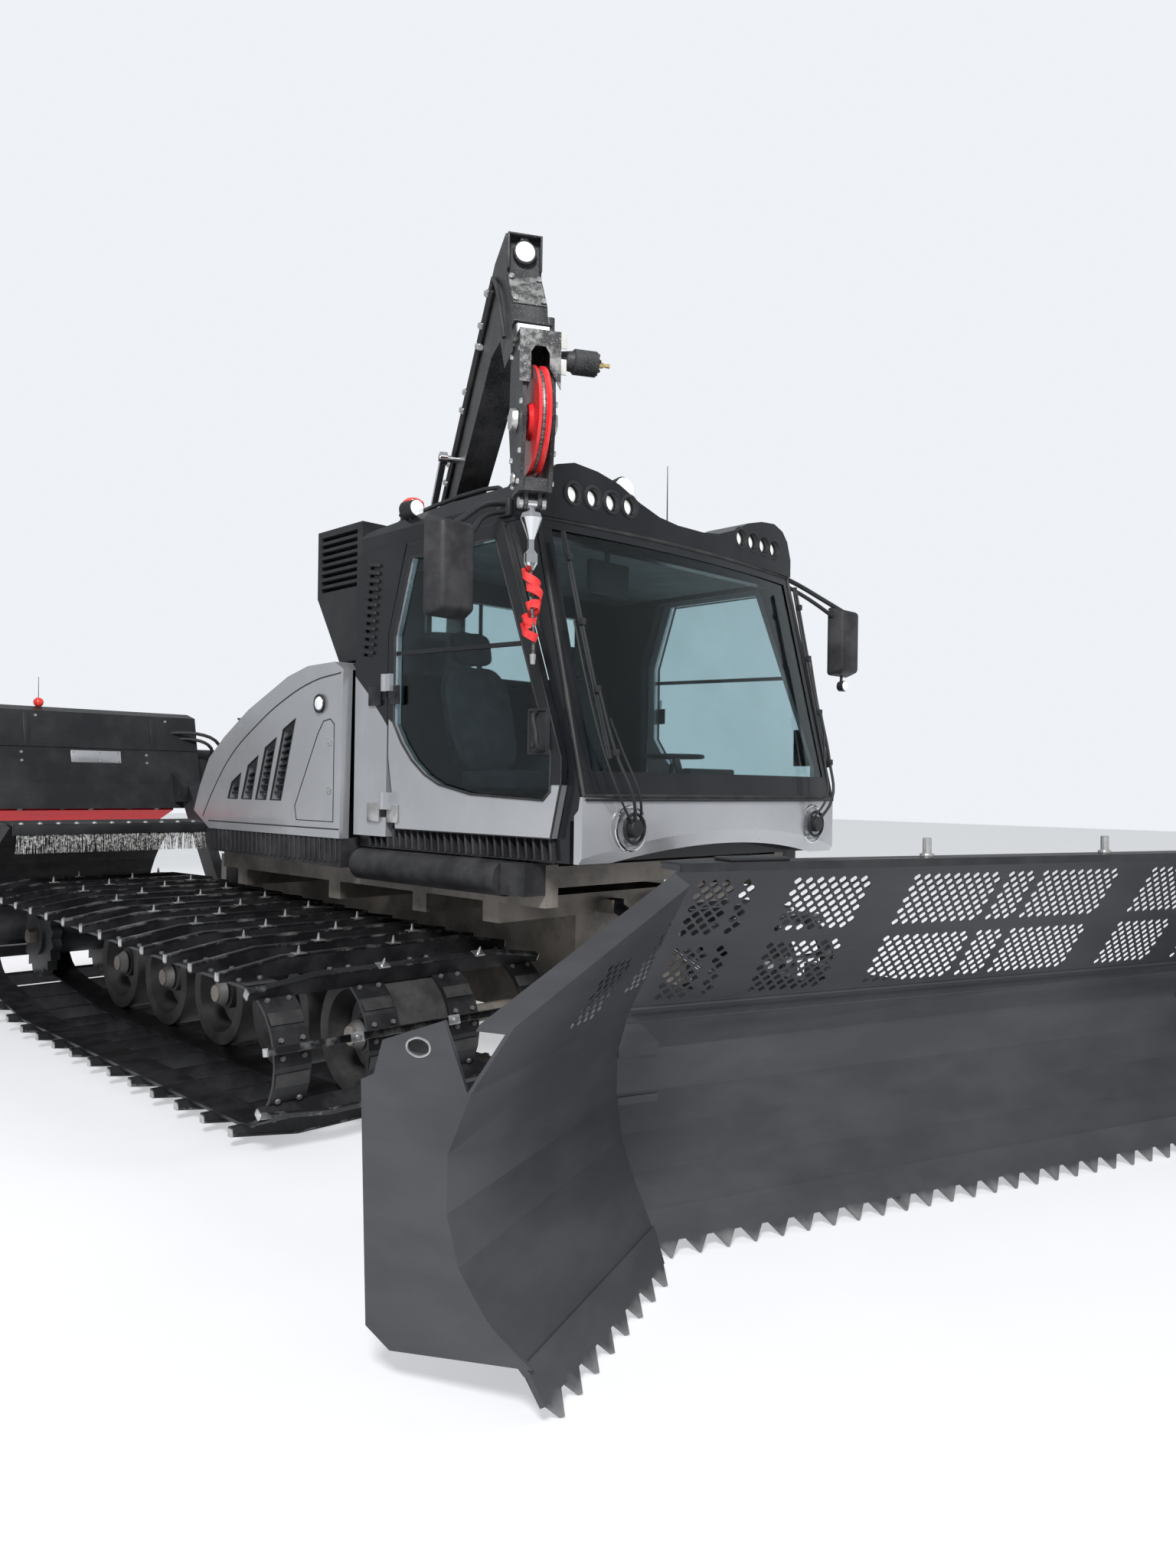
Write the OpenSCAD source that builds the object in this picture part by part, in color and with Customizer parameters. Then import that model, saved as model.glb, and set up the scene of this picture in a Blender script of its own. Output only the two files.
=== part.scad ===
// Snowcat groomer with winch boom, front blade and rear tiller.
// X points to the machine's left, Y to its rear, Z up. The origin is on the
// ground under the middle of the machine. All sizes are in millimetres.

/* [Tracks] */
// Half of the width over both tracks
track_half = 2150; // [1950:10:2300]
// Inner end of the grouser bars from the centre plane
track_inner = 520; // [480:10:600]
// Outer radius of the belts where they turn
belt_r = 300; // [260:5:330]
// Thickness of the rubber belts
belt_t = 14; // [8:1:24]
// Width of one belt
belt_w = 170; // [120:5:220]
// Height of the grouser bars
bar_h = 85; // [50:1:110]
// Thickness of the grouser bars
bar_t = 30; // [15:1:50]
// Number of grouser bars on one track
bar_n = 34; // [24:1:44]
// Place of the front idler axle
idler_y = -670; // [-900:10:-500]
// Place of the last road wheel axle
last_wheel_y = 2020; // [1800:10:2200]
// Place of the drive sprocket axle
sprocket_y = 2820; // [2700:10:3000]
// Rise of the drive sprocket above the road wheels
sprocket_rise = 110; // [0:5:160]
// Width of a road wheel
wheel_w = 400; // [250:10:460]
// Radius of the wheel axles
axle_r = 45; // [30:1:60]

/* [Chassis] */
// Half width of the chassis tub
tub_half = 420; // [360:5:460]
// Front end of the chassis tub
tub_y0 = -1000; // [-1100:10:-900]
// Rear end of the chassis tub
tub_y1 = 2900; // [2800:10:2920]
// Underside of the chassis tub
tub_z0 = 330; // [280:5:380]
// Top of the chassis tub
tub_z1 = 1000; // [950:5:1040]
// Half width of the platform that carries the cab
deck_half = 940; // [880:5:980]

/* [Cab] */
// Underside of the cab floor
floor_z = 1210; // [1180:5:1260]
// Thickness of the cab floor
floor_t = 60; // [30:5:90]
// Half width of the cab frame
cab_half = 1000; // [900:5:1010]
// Depth of the pillars across the cab
pillar_w = 60; // [40:2:90]
// Foot of the windscreen
screen_y0 = -1700; // [-1760:10:-1640]
// Height of the windscreen's foot
screen_z0 = 1510; // [1450:10:1580]
// Head of the windscreen
screen_y1 = -1375; // [-1440:10:-1320]
// Height of the windscreen's head
screen_z1 = 2800; // [2720:10:2860]
// Radius of the windscreen's curve seen from above
screen_r = 6000; // [4000:100:9000]
// Rear face of the cab
cab_y1 = 110; // [60:10:160]
// Top of the roof
roof_z = 3010; // [2960:5:3060]
// Height of the visor's humps above the roof
hump_h = 65; // [20:5:100]
// Thickness of the glass
glass_t = 6; // [4:1:12]

/* [Doors] */
// Thickness of a door
door_t = 45; // [30:1:60]
// Hinge line of the doors
door_hinge_y = -200; // [-260:10:-160]

/* [Blade] */
// Place of the blade's turning pivot
blade_pivot_y = -2666; // [-2800:10:-2600]
// Blade angle at rest, left end forward
blade_yaw = -19.3; // [-25:0.1:25]
// Half length of the main blade
blade_half = 1560; // [1400:10:1700]
// Cutting edge in front of the turning pivot
blade_reach = 540; // [500:10:700]
// Thickness of the mouldboard
blade_t = 12; // [8:1:20]
// Length of a wing from its hinge
wing_len = 1215; // [1000:5:1400]
// Forward fold of the wings at rest
wing_fold = 41; // [0:1:43]
// Fold that the wing's inner edge is cut for
wing_cut = 45; // [43:1:60]
// Pitch of the saw teeth on the cutting edge
tooth_pitch = 110; // [80:5:160]

/* [Boom] */
// Place of the boom turret
turret_y = 770; // [700:10:840]
// Boom direction at rest, from straight ahead to the right
boom_slew = 28.5; // [0:0.5:60]
// Height of the luffing pivot
luff_z = 2820; // [2700:10:2900]
// Distance from the turret to the sheave
head_reach = 2650; // [2400:10:2800]
// Height of the sheave
sheave_z = 3100; // [3000:10:3300]
// Radius of the sheave
sheave_r = 228; // [180:1:260]
// Width of the boom
boom_w = 160; // [120:5:220]

/* [Tiller] */
// Place of the tiller arms' pivot
tiller_pivot_y = 2990; // [2950:10:3100]
// Height of the tiller arms' pivot
tiller_pivot_z = 700; // [640:10:860]
// Place of the tiller drum
drum_y = 3970; // [3850:10:4050]
// Height of the tiller drum
drum_z = 1500; // [1400:10:1600]
// Radius of the drum over its teeth
drum_r = 200; // [150:5:230]
// Half width of the tiller
tiller_half = 2700; // [2200:10:2750]
// Rear end of the combs
comb_y = 4620; // [4500:10:4700]

/* [Hidden] */
$fn = 48;
gap = 0.3;
pin_r = 30;
pin_play = 0.1;
EPS = 1;

// Colours
black = "#17181a";
steel = "#3c3e42";
silver = "#b9bcc0";
red = "#c51f22";
tint = "#2c4a4c";
grey = "#6d6860";

// Extrude a side view outline, given as [y, z] points, across x0 to x0 + w
module across(x0, w) { translate([x0, 0, 0]) rotate([90, 0, 90]) linear_extrude(w) children(); }
module side_plate(x0, w, pts) { across(x0, w) polygon(pts); }
// The same outline on both sides, x0 measured outwards from the centre plane
module both_sides(x0, w, pts) { for (s = [-1, 1]) side_plate(s > 0 ? x0 : -x0 - w, w, pts); }
module box(a, b) { translate(a) cube(b - a); }
// Round bar along X, centred on a point
module bar_x(c, r, w) { translate([c.x - w / 2, c.y, c.z]) rotate([0, 90, 0]) cylinder(r = r, h = w); }
// The mirror image of a point on side s
function side(p, s) = [s * p.x, p.y, p.z];
// Round bar between two points
module rod(a, b, r) {
    d = b - a;
    len = norm(d);
    translate(a) rotate([0, acos(d.z / len), atan2(d.y, d.x)]) cylinder(r = r, h = len);
}
// Thicken an open line of [y, z] points by t towards the rear
function strip(line, t) = concat(line, [for (i = [len(line) - 1 : -1 : 0]) line[i] + [t, 0]]);
function arc(c, r, a0, a1, n) = [for (i = [0 : n]) c + r * [cos(a0 + (a1 - a0) * i / n),
    sin(a0 + (a1 - a0) * i / n)]];
function grow(pts, c, k) = [for (p = pts) c + (p - c) * k];

// Tracks
axle_z = bar_h + belt_r;
sprocket_z = axle_z + sprocket_rise;
track_mid = (track_half + track_inner) / 2;
// The belts turn in short flats, which the wheels just clear
flat = 15;
wheel_r = (belt_r - belt_t) * cos(flat / 2) - gap;
road_n = 4;
wheel_ys = [for (i = [0 : road_n]) idler_y + (last_wheel_y - idler_y) * i / road_n];
// Centres that the belt runs round, counter-clockwise in [y, z]
belt_turns = [[idler_y, axle_z], [last_wheel_y, axle_z], [sprocket_y, sprocket_z]];
function edge(i) = belt_turns[(i + 1) % 3] - belt_turns[i];
function edge_len(i) = norm(edge(i));
function edge_dir(i) = edge(i) / edge_len(i);
function out_normal(i) = [edge_dir(i).y, -edge_dir(i).x];
function angle_of(v) = atan2(v.y, v.x);
// Turn of the belt round centre i, from the edge before it to the edge after it
function turn(i) = (angle_of(out_normal(i)) - angle_of(out_normal((i + 2) % 3)) + 720) % 360;
function arc_len(i) = belt_r * turn(i) * PI / 180;
loop_len = edge_len(0) + edge_len(1) + edge_len(2) + 2 * PI * belt_r;
// Point and outward angle at distance s along the outside of the belt, starting at turn i
function on_belt(s, i = 0) =
    s <= arc_len(i)
        ? let (a = angle_of(out_normal((i + 2) % 3)) + s / belt_r * 180 / PI)
            [belt_turns[i] + belt_r * [cos(a), sin(a)], a]
        : s <= arc_len(i) + edge_len(i)
            ? [belt_turns[i] + belt_r * out_normal(i) + (s - arc_len(i)) * edge_dir(i), angle_of(out_normal(i))]
            : on_belt(s - arc_len(i) - edge_len(i), (i + 1) % 3);
function belt_outline(r) = [
    for (i = [0 : 2])
        let (steps = max(1, ceil(turn(i) / flat)), a0 = angle_of(out_normal((i + 2) % 3)))
            for (k = [0 : steps]) belt_turns[i] + r * [cos(a0 + turn(i) * k / steps), sin(a0 + turn(i) * k / steps)]
];
// Belts across one track, as the place of each belt's middle from the track's inner end
belt_n = 4;
// Depth that the bars reach into the belts
bar_sink = 6;
belt_mids = [for (i = [0 : belt_n - 1])
    track_inner + belt_w / 2 + 50 + (track_half - track_inner - belt_w - 100) * i / (belt_n - 1)];

// Chassis front and rear pivots
push_pivot = [0, tub_y0 - 60, 600];
tiller_pivot = [0, tiller_pivot_y, tiller_pivot_z];
pivot_x0 = 250;
pivot_lug = 85;
lift_x = 200;
lift_top = [lift_x, tub_y0 - 70, 930];
lift_foot = [lift_x, tub_y0 - 750, 640];

// Side body, as [y, z] round its outline from the front foot upwards
body_half = deck_half + 160;
body_y0 = cab_y1 + 55;
body_z0 = 1250;
body_line = [[body_y0, body_z0], [body_y0 - 20, 2180], [body_y0 + 70, 2225], [body_y0 + 350, 2220],
    [740, 2173], [1210, 1997], [1523, 1836], [1728, 1703], [1852, 1524], [1935, 1363], [1714, 1251]];
body_top = [for (i = [2 : 9]) body_line[i]];

// Blade, in its own frame: X along the blade, Y rearwards, yaw pivot at the origin
edge_y = -blade_reach;
// Front face of the mouldboard as [set-back from the cutting edge, height]
mould = [[0, 0], [70, 110], [190, 230], [270, 340], [305, 470], [305, 620], [240, 780], [-110, 1310]];
mould_line = [for (p = mould) [edge_y + p.x, p.y]];
wing_hinge_set = 350;
wing_hinge = [blade_half, edge_y + wing_hinge_set];
function wing_gap(y) = 12 + (wing_hinge.y - y) * tan(wing_cut);

// Boom, in its own frame: forwards is -Y, turret axis at the origin
boom_tip_z = 4005;
luff = [-60, luff_z];

module at_blade() { translate([0, blade_pivot_y, 0]) rotate([0, 0, blade_yaw]) children(); }
module at_turret() { translate([0, turret_y, 0]) rotate([0, 0, -boom_slew]) children(); }

// Chassis

module chassis_frame() {
    color(grey) {
        box([-tub_half, tub_y0, tub_z0], [tub_half, tub_y1, tub_z1]);
        // Cross beams and side beams of the platform
        for (y = [-1000, -420, 400, 1500])
            box([-deck_half, y, tub_z1 - 110], [deck_half, y + 120, tub_z1]);
        for (s = [-1, 1])
            translate([s > 0 ? deck_half - 80 : -deck_half, -1330, tub_z1 - 10]) cube([80, 3150, 200]);
        box([-deck_half, -1330, 1080], [deck_half, -1230, 1180]);
        // Cab mounts
        for (s = [-1, 1], y = [-940, -360])
            translate([s * 600, y, tub_z1 - EPS]) cylinder(r = 60, h = floor_z - tub_z1 + EPS);
        // Axles
        for (s = [-1, 1], y = wheel_ys)
            bar_x([s * (tub_half + track_mid + wheel_w / 2 + 20) / 2, y, axle_z], axle_r,
                track_mid + wheel_w / 2 + 20 - tub_half + EPS);
        for (s = [-1, 1])
            bar_x([s * (tub_half + track_mid + 500) / 2, sprocket_y, sprocket_z], axle_r,
                track_mid + 500 - tub_half + EPS);
        // Lugs and pins of the blade frame and of the tiller arms
        for (s = [-1, 1]) {
            x0 = s > 0 ? pivot_x0 : -pivot_x0 - pivot_lug;
            box([x0, push_pivot.y - 60, push_pivot.z - 60], [x0 + pivot_lug, tub_y0 + EPS, push_pivot.z + 60]);
            bar_x([s * (pivot_x0 + 90), push_pivot.y, push_pivot.z], pin_r, 180);
            box([x0, tub_y1 - EPS, tiller_pivot.z - 60], [x0 + pivot_lug, tiller_pivot.y + 60, tiller_pivot.z + 60]);
            bar_x([s * (pivot_x0 + 90), tiller_pivot.y, tiller_pivot.z], pin_r, 180);
            // Anchors of the lift cylinders
            bar_x([s * lift_x, lift_top.y, lift_top.z], 22, 110);
            for (k = [-1, 1])
                box([s * lift_x + k * 45 - 8, lift_top.y - 30, lift_top.z - 35], [s * lift_x + k * 45 + 8,
                    tub_y0 + EPS, lift_top.z + 35]);
            // Anchors of the tiller cylinders
            bar_x(side(tiller_cyl_a, s), 22, 116);
            for (k = [-1, 1])
                box([s * tiller_cyl_a.x + k * 46 - 8, tub_y1 - EPS, tiller_cyl_a.z - 35],
                    [s * tiller_cyl_a.x + k * 46 + 8, tiller_cyl_a.y + 30, tiller_cyl_a.z + 35]);
        }
        tow_eye(tub_y0 + EPS, -1);
        tow_eye(tub_y1 - EPS, 1);
    }
}

tow_z = 440;
tow_r = 20;
module tow_eye(y, dir) {
    translate([0, y, tow_z - 20]) scale([1, dir, 1]) linear_extrude(40) difference() {
        polygon([[-90, 0], [90, 0], [50, 90], [-50, 90]]);
        translate([0, 55]) circle(tow_r);
    }
}
module wheel(x, y, z, w) {
    color(black) translate([x - w / 2, y, z]) rotate([0, 90, 0])
        rotate_extrude() polygon([[axle_r + gap, 40], [90, 40], [90, 120], [200, 120], [215, 0], [wheel_r, 0],
            [wheel_r, w], [215, w], [200, w - 120], [90, w - 120], [90, w - 40], [axle_r + gap, w - 40]]);
}
module wheels() {
    for (s = [-1, 1], y = wheel_ys) wheel(s * track_mid, y, axle_z, wheel_w);
}

sprocket_teeth = 18;
module sprocket(x) {
    w = 60;
    color(black) translate([x, sprocket_y, sprocket_z]) rotate([0, 90, 0]) difference() {
        union() {
            translate([0, 0, -450]) cylinder(r = 130, h = 900);
            for (k = [-1, 0, 1]) translate([0, 0, k * 400 - w / 2]) linear_extrude(w)
                polygon([for (i = [0 : 2 * sprocket_teeth - 1])
                    let (r = i % 2 == 0 ? wheel_r : wheel_r - 45) r * [cos(i * 180 / sprocket_teeth),
                        sin(i * 180 / sprocket_teeth)]]);
        }
        translate([0, 0, -460]) cylinder(r = axle_r + gap, h = 920);
    }
}
module sprockets() { for (s = [-1, 1]) sprocket(s * track_mid); }

// Tracks: four belts and the grouser bars across them
module track(s) {
    color(black) {
        for (m = belt_mids) translate([s * m - belt_w / 2, 0, 0]) across(0, belt_w) difference() {
            polygon(belt_outline(belt_r));
            polygon(belt_outline(belt_r - belt_t));
        }
        for (k = [0 : bar_n - 1]) {
            p = on_belt((k + 0.5) * loop_len / bar_n);
            translate([s * track_mid, p[0].x, p[0].y]) rotate([p[1] - 90, 0, 0])
                translate([0, bar_t / 2, -bar_sink]) rotate([90, 0, 0]) linear_extrude(bar_t) grouser_outline();
        }
    }
}
module grouser_outline() {
    w = (track_half - track_inner) / 2;
    h = bar_h + bar_sink;
    polygon([[-w, 0], [w, 0], [w, h * 0.45], [w * 0.62, h], [-w * 0.62, h], [-w, h * 0.45]]);
}
module track_right() { track(-1); }
module track_left() { track(1); }

module engine_block() { color(steel) box([-375, 300, tub_z1 + gap], [375, 1300, 1740]); }

// Winch drum, its side plates and the pedestal under the boom
pedestal_r = 230;
ring_z = 2460;
module winch_base() {
    color(black) {
        both_sides(380, 40, [[turret_y - 280, tub_z1 + gap], [1880, tub_z1 + gap], [1880, 1300], [1650, 1600],
            [turret_y + 320, 1800],
            [turret_y + 280, 1960], [turret_y - 280, 1960]]);
        box([-420, turret_y - 280, 1920], [420, turret_y + 280, 1960]);
        translate([0, turret_y, 1960 - EPS]) cylinder(r = pedestal_r, h = ring_z - 1960 + EPS);
        translate([0, turret_y, ring_z - 40]) cylinder(r = pedestal_r + 40, h = 40);
        bar_x([0, 1600, 1350], 250, 762);
    }
}

// Cab

// Curved front outline seen from above, the arc's centre on the machine's middle
module curved_front(r, y, z0, z1) {
    translate([0, y + r, z0]) cylinder(r = r, h = z1 - z0, $fn = 192);
}
// Set-back of the curved front at the cab's corners
corner_set = screen_r - sqrt(screen_r * screen_r - cab_half * cab_half);
foot_y = screen_y0 + corner_set + glass_t + 2;
head_y = screen_y1 + corner_set + glass_t + 6;
sill_z = 1320;
// Front edge of the door opening, from the sill up
door_front = [[foot_y + 135, sill_z], [foot_y + 75, 1560], [foot_y + 75, 1680], [head_y + 165, screen_z1 - 10]];
module cab_shell() {
    color(black) difference() {
        union() {
            // Floor, rear wall and front bulkhead
            box([-cab_half, foot_y + 90, floor_z], [cab_half, cab_y1, floor_z + floor_t]);
            box([-cab_half, cab_y1 - 50, floor_z], [cab_half, cab_y1, screen_z1]);
            box([-cab_half + 40, foot_y + 90, floor_z], [cab_half - 40, foot_y + 120, screen_z0]);
            // Sills, front pillars, rear pillars and head rails
            both_sides(cab_half - pillar_w, pillar_w, [[foot_y + 90, floor_z], [cab_y1, floor_z], [cab_y1,
                sill_z], [foot_y + 90, sill_z]]);
            both_sides(cab_half - pillar_w, pillar_w, concat([[foot_y + 60, floor_z], [foot_y + 150, floor_z]],
                door_front,
                [[head_y + 165, screen_z1], [head_y, screen_z1], [foot_y, screen_z0], [foot_y + 10,
                    screen_z0 - 60], [foot_y + 60, 1400]]));
            both_sides(cab_half - pillar_w, pillar_w, [[door_hinge_y, floor_z], [cab_y1, floor_z], [cab_y1,
                screen_z1], [door_hinge_y - 150, screen_z1], [door_hinge_y, 2340]]);
            both_sides(cab_half - pillar_w, pillar_w, [[head_y, screen_z1 - 60], [cab_y1, screen_z1 - 60],
                [cab_y1, screen_z1], [head_y, screen_z1]]);
            box([-cab_half, head_y + 50, screen_z1 - 60], [cab_half, head_y + 110, screen_z1]);
            // Louvred rear pillars outside, above the silver quarter panels
            for (s = [-1, 1]) difference() {
                side_plate(s > 0 ? cab_half - EPS : -cab_half - door_t, door_t + EPS,
                    concat([for (i = [0 : 4]) quarter_top[i] + [0, gap]],
                    [[door_hinge_y + 5, 2340], [door_hinge_y - 145, screen_z1], [cab_y1, screen_z1]]));
                for (k = [0 : 11]) translate([s * (cab_half + door_t), 0, 0])
                    side_plate(-12, 24, [for (p = [[-60, 2230], [30, 2245], [30, 2262], [-60,
                        2247]]) p + [-5 * k, 42 * k]]);
            }
        }
        // Rear window
        box([-620, cab_y1 - 60, 1980], [620, cab_y1 + 10, 2640]);
    }
}
// Upper edge of the silver quarter panels, from the rear to the door
quarter_top = [[cab_y1, 2140], [-20, 2035], [-100, 1955], [-150, 1908], [door_hinge_y + 5, 1862]];
module quarter_panels() {
    color(silver) for (s = [-1, 1])
        side_plate(s > 0 ? cab_half + gap : -cab_half - door_t, door_t - gap, concat(quarter_top,
            [[door_hinge_y + 5, 1275], [cab_y1, 1275]]));
}

visor_r = 7000;
visor_y0 = screen_y1 - 10;
roof_half = 1005;
module roof() {
    color(black) difference() {
        intersection() {
            curved_front(visor_r, visor_y0, screen_z1 + gap, roof_z + hump_h + EPS);
            translate([0, cab_y1 + 20, 0]) rotate([90, 0,
                0]) linear_extrude(cab_y1 + 20 - visor_y0 + 20) polygon(visor_front());
        }
        // The roof behind the visor is lower, and the lamps sit in bores
        across(-cab_half - 50, 2 * cab_half + 100) polygon([[screen_y1 + 320, roof_z - 30], [-600,
            roof_z - 30], [cab_y1 + 30, roof_z - 80],
            [cab_y1 + 30, roof_z + 100], [screen_y1 + 240, roof_z + 100]]);
        for (x = lamp_xs) lamp_bore(x);
    }
}
// Front view of the visor as [x, z]: two humps with a saddle between them
visor_xs = [roof_half, 960, 900, 800, 660, 520, 380, 240, 100];
function visor_top(x) = x > 970 ? roof_z - 110 : x > 930 ? roof_z - 10 : x > 850 ? roof_z + hump_h - 25 : x > 700 ? roof_z + hump_h
    : x > 600 ? roof_z + hump_h - 15 : x > 500 ? roof_z + 15 : x > 300 ? roof_z - 50 : x > 200 ? roof_z - 95 : roof_z - 112;
function visor_front() = concat([for (x = visor_xs) [x, visor_top(x)]],
    [for (i = [len(visor_xs) - 1 : -1 : 0]) [-visor_xs[i], visor_top(visor_xs[i])]],
    [[-roof_half, screen_z1], [roof_half, screen_z1]]);
lamp_xs = [for (s = [-1, 1], k = [0 : 3]) s * (449 + 117 * k)];
lamp_r = 42;
lamp_z = 2930;
lamp_deep = 50;
function visor_y(x) = visor_y0 + visor_r - sqrt(visor_r * visor_r - x * x);
module lamp_bore(x) {
    translate([x, visor_y(x) + 100, lamp_z]) rotate([90, 0, 0]) cylinder(r = lamp_r + gap, h = 260);
}
module lamps() {
    color("#e8ecec") for (x = lamp_xs)
        translate([x, visor_y(x) + 100 - gap, lamp_z]) rotate([90, 0, 0]) cylinder(r = lamp_r, h = 100 - lamp_deep);
}

module nose() {
    color(silver) intersection() {
        difference() {
            curved_front(screen_r, screen_y0 - 8, floor_z, screen_z0 - 2);
            curved_front(screen_r - 50, screen_y0 + 42, floor_z - 1, screen_z0);
        }
        // Side view: upright above, raked back below
        across(-cab_half, 2 * cab_half) polygon([[screen_y0 - 20, screen_z0], [screen_y0 - 20, 1370],
            [screen_y0 + 95, floor_z],
            [foot_y + 59, floor_z], [foot_y + 59, 1400], [foot_y + 9, screen_z0 - 60], [foot_y - 1, screen_z0]]);
    }
}

module cab_glass() {
    color(tint) {
        // Windscreen: a leaning curved sheet
        intersection() {
            difference() {
                screen_cone(0);
                screen_cone(glass_t);
            }
            box([-cab_half + 3, screen_y0 - 20, screen_z0], [cab_half - 3, head_y, screen_z1 - gap]);
        }
        // Rear window
        box([-620 + gap, cab_y1 - 30, 1980 + gap], [620 - gap, cab_y1 - 30 + glass_t, 2640 - gap]);
    }
}
module screen_cone(inset) {
    lean = screen_y1 - screen_y0;
    translate([0, screen_y0 + screen_r, screen_z0 - EPS])
        cylinder(r1 = screen_r - inset, r2 = screen_r - lean - inset, h = screen_z1 - screen_z0 + EPS, $fn = 192);
}

module seat(x) {
    z0 = floor_z + floor_t;
    color(black) {
        box([x - 130, -650, z0], [x + 130, -350, z0 + 240 + EPS]);
        box([x - 250, -780, z0 + 240], [x + 250, -260, z0 + 370]);
        side_plate(x - 240, 480, [[-330, z0 + 370 - EPS], [-220, z0 + 370 - EPS], [-90, z0 + 960], [-190, z0 + 960]]);
        side_plate(x - 140, 280, [[-180, z0 + 960 - EPS], [-100, z0 + 960 - EPS], [-70, z0 + 1160], [-140,
            z0 + 1160]]);
    }
}
seat_xs = [330, -430];
module seats() { for (x = seat_xs) seat(x); }
module dashboard() {
    color(black) {
        side_plate(-860, 1720, [[foot_y + 120 + gap, floor_z + floor_t + gap], [foot_y + 200,
            floor_z + floor_t + gap], [foot_y + 330, 1540], [foot_y + 290, 1590], [foot_y + 120 + gap, 1500]]);
    }
}

// Body behind the cab

vent_bottom = 1450;
module rear_body() {
    color(silver) for (s = [-1, 1]) difference() {
        union() {
            side_plate(s > 0 ? body_half - 60 : -body_half, 60, body_line);
            side_plate(s > 0 ? deck_half : -body_half + 50, body_half - 50 - deck_half, concat(body_top,
                [for (i = [7 : -1 : 0]) body_top[i] - [0, 35]]));
        }
        for (k = [0 : 3])
            side_plate(s > 0 ? body_half - 70 : -body_half - 10, 80, vent(k));
    }
}
// One of the four slanted vents, the tallest at the front
function vent(k) = let (y = 800 + 178 * k, top = 1925 - 105 * k, rise = top - vent_bottom)
    [[y, vent_bottom], [y + 125, vent_bottom], [y + 125 - 0.30 * rise, top - 60], [y + 15 - 0.36 * rise, top]];

module deck() {
    inner = body_top;
    color(black) difference() {
        side_plate(-deck_half + gap, 2 * (deck_half - gap), concat(inner,
            [for (i = [7 : -1 : 0]) inner[i] - [0, 35]]));
        translate([0, turret_y, 1900]) cylinder(r = pedestal_r + 30, h = 500);
    }
}

module intake_box() {
    color(black) difference() {
        union() {
            side_plate(-cab_half, 200, [[cab_y1 + 20 + gap, 2620], [cab_y1 + 480, 2620], [cab_y1 + 480, 3005],
                [cab_y1 + 20 + gap, 3005]]);
            side_plate(-cab_half, 200, [[cab_y1 + 20 + gap, 2240], [cab_y1 + 240, 2240], [cab_y1 + 480, 2621],
                [cab_y1 + 20 + gap, 2621]]);
        }
        for (k = [0 : 7]) box([-cab_half - 10, cab_y1 + 70, 2650 + 42 * k], [-cab_half + 60, cab_y1 + 440,
            2674 + 42 * k]);
    }
}

module skirts() {
    color(black) for (s = [-1, 1]) {
        side_plate(s > 0 ? deck_half + gap : -body_half + 10, body_half - 10 - deck_half - gap, [[body_y0,
            1090], [1700, 1110], [1760, body_z0 - gap], [body_y0, body_z0 - gap]]);
        // Long tube under the sill
        translate([s * (deck_half + 85), -1150, 1120]) rotate([-90, 0, 0]) cylinder(r = 84, h = 1200);
        // Step under the front of the door
        side_plate(s > 0 ? deck_half + gap : -deck_half - 130, 130 - gap, [[-1330, 1050], [-1160, 1050],
            [-1160, 1200], [-1330, 1200]]);
    }
}

guard_c = [2620, 450];
guard_r = 830;
guard_x0 = 780;
guard_x1 = 2060;
module mudguards() {
    sheet = concat(arc(guard_c, guard_r, -12, 104, 14), arc(guard_c, guard_r - 8, 104, -12, 14));
    color(black) for (s = [-1, 1]) {
        side_plate(s > 0 ? guard_x0 : -guard_x1, guard_x1 - guard_x0, sheet);
        // Turned-down front edge, end plate and the beam from the tub
        side_plate(s > 0 ? guard_x0 : -guard_x1, guard_x1 - guard_x0, [[2412, 1262], [2424, 1262], [2424,
            1190], [2412, 1190]]);
        side_plate(s > 0 ? guard_x1 - EPS : -guard_x1 - 7, 8, arc(guard_c, guard_r - 20, 20, 102, 10));
        box([s > 0 ? tub_half + gap : -guard_x1 + 200, 2560, 1190], [s > 0 ? guard_x1 - 200 : -tub_half - gap,
            2640, 1275]);
        side_plate(s > 0 ? tub_half + gap : -tub_half - 60, 60 - gap, [[2500, 780], [2700, 780], [2700, 1274],
            [2500, 1274]]);
    }
}

mirror_c = [1530, -1350, 2470];
module mirrors() {
    color(black) for (s = [-1, 1]) {
        c = [s * mirror_c.x, mirror_c.y, mirror_c.z];
        translate([c.x - 115, c.y - 60, c.z - 215]) cube([230, 110, 430]);
        rod([s * (roof_half + 20), -1100, 2880], [c.x, c.y, c.z + 200], 16);
        rod([s * (roof_half + 20), -1100, 2845], [c.x, c.y, c.z + 130], 14);
        translate([s > 0 ? roof_half + gap : -roof_half - gap - 24, -1140, 2820]) cube([24, 100, 85]);
    }
}

// Doors, hinged at the rear
door_x = cab_half + gap;
door_z0 = sill_z;
door_z1 = 2790;
hinge_x = door_x + door_t + 22;
// Outline of a door in side view as [y, z], a seam behind the front pillar
seam = 6;
door_line = concat([for (p = door_front) p + [seam, 0]] , [[head_y + 165 + seam, door_z1], [door_hinge_y - 158,
    door_z1], [door_hinge_y - seam, 2340], [door_hinge_y - seam, 1700], [door_hinge_y - 80, door_z0]]);
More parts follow.
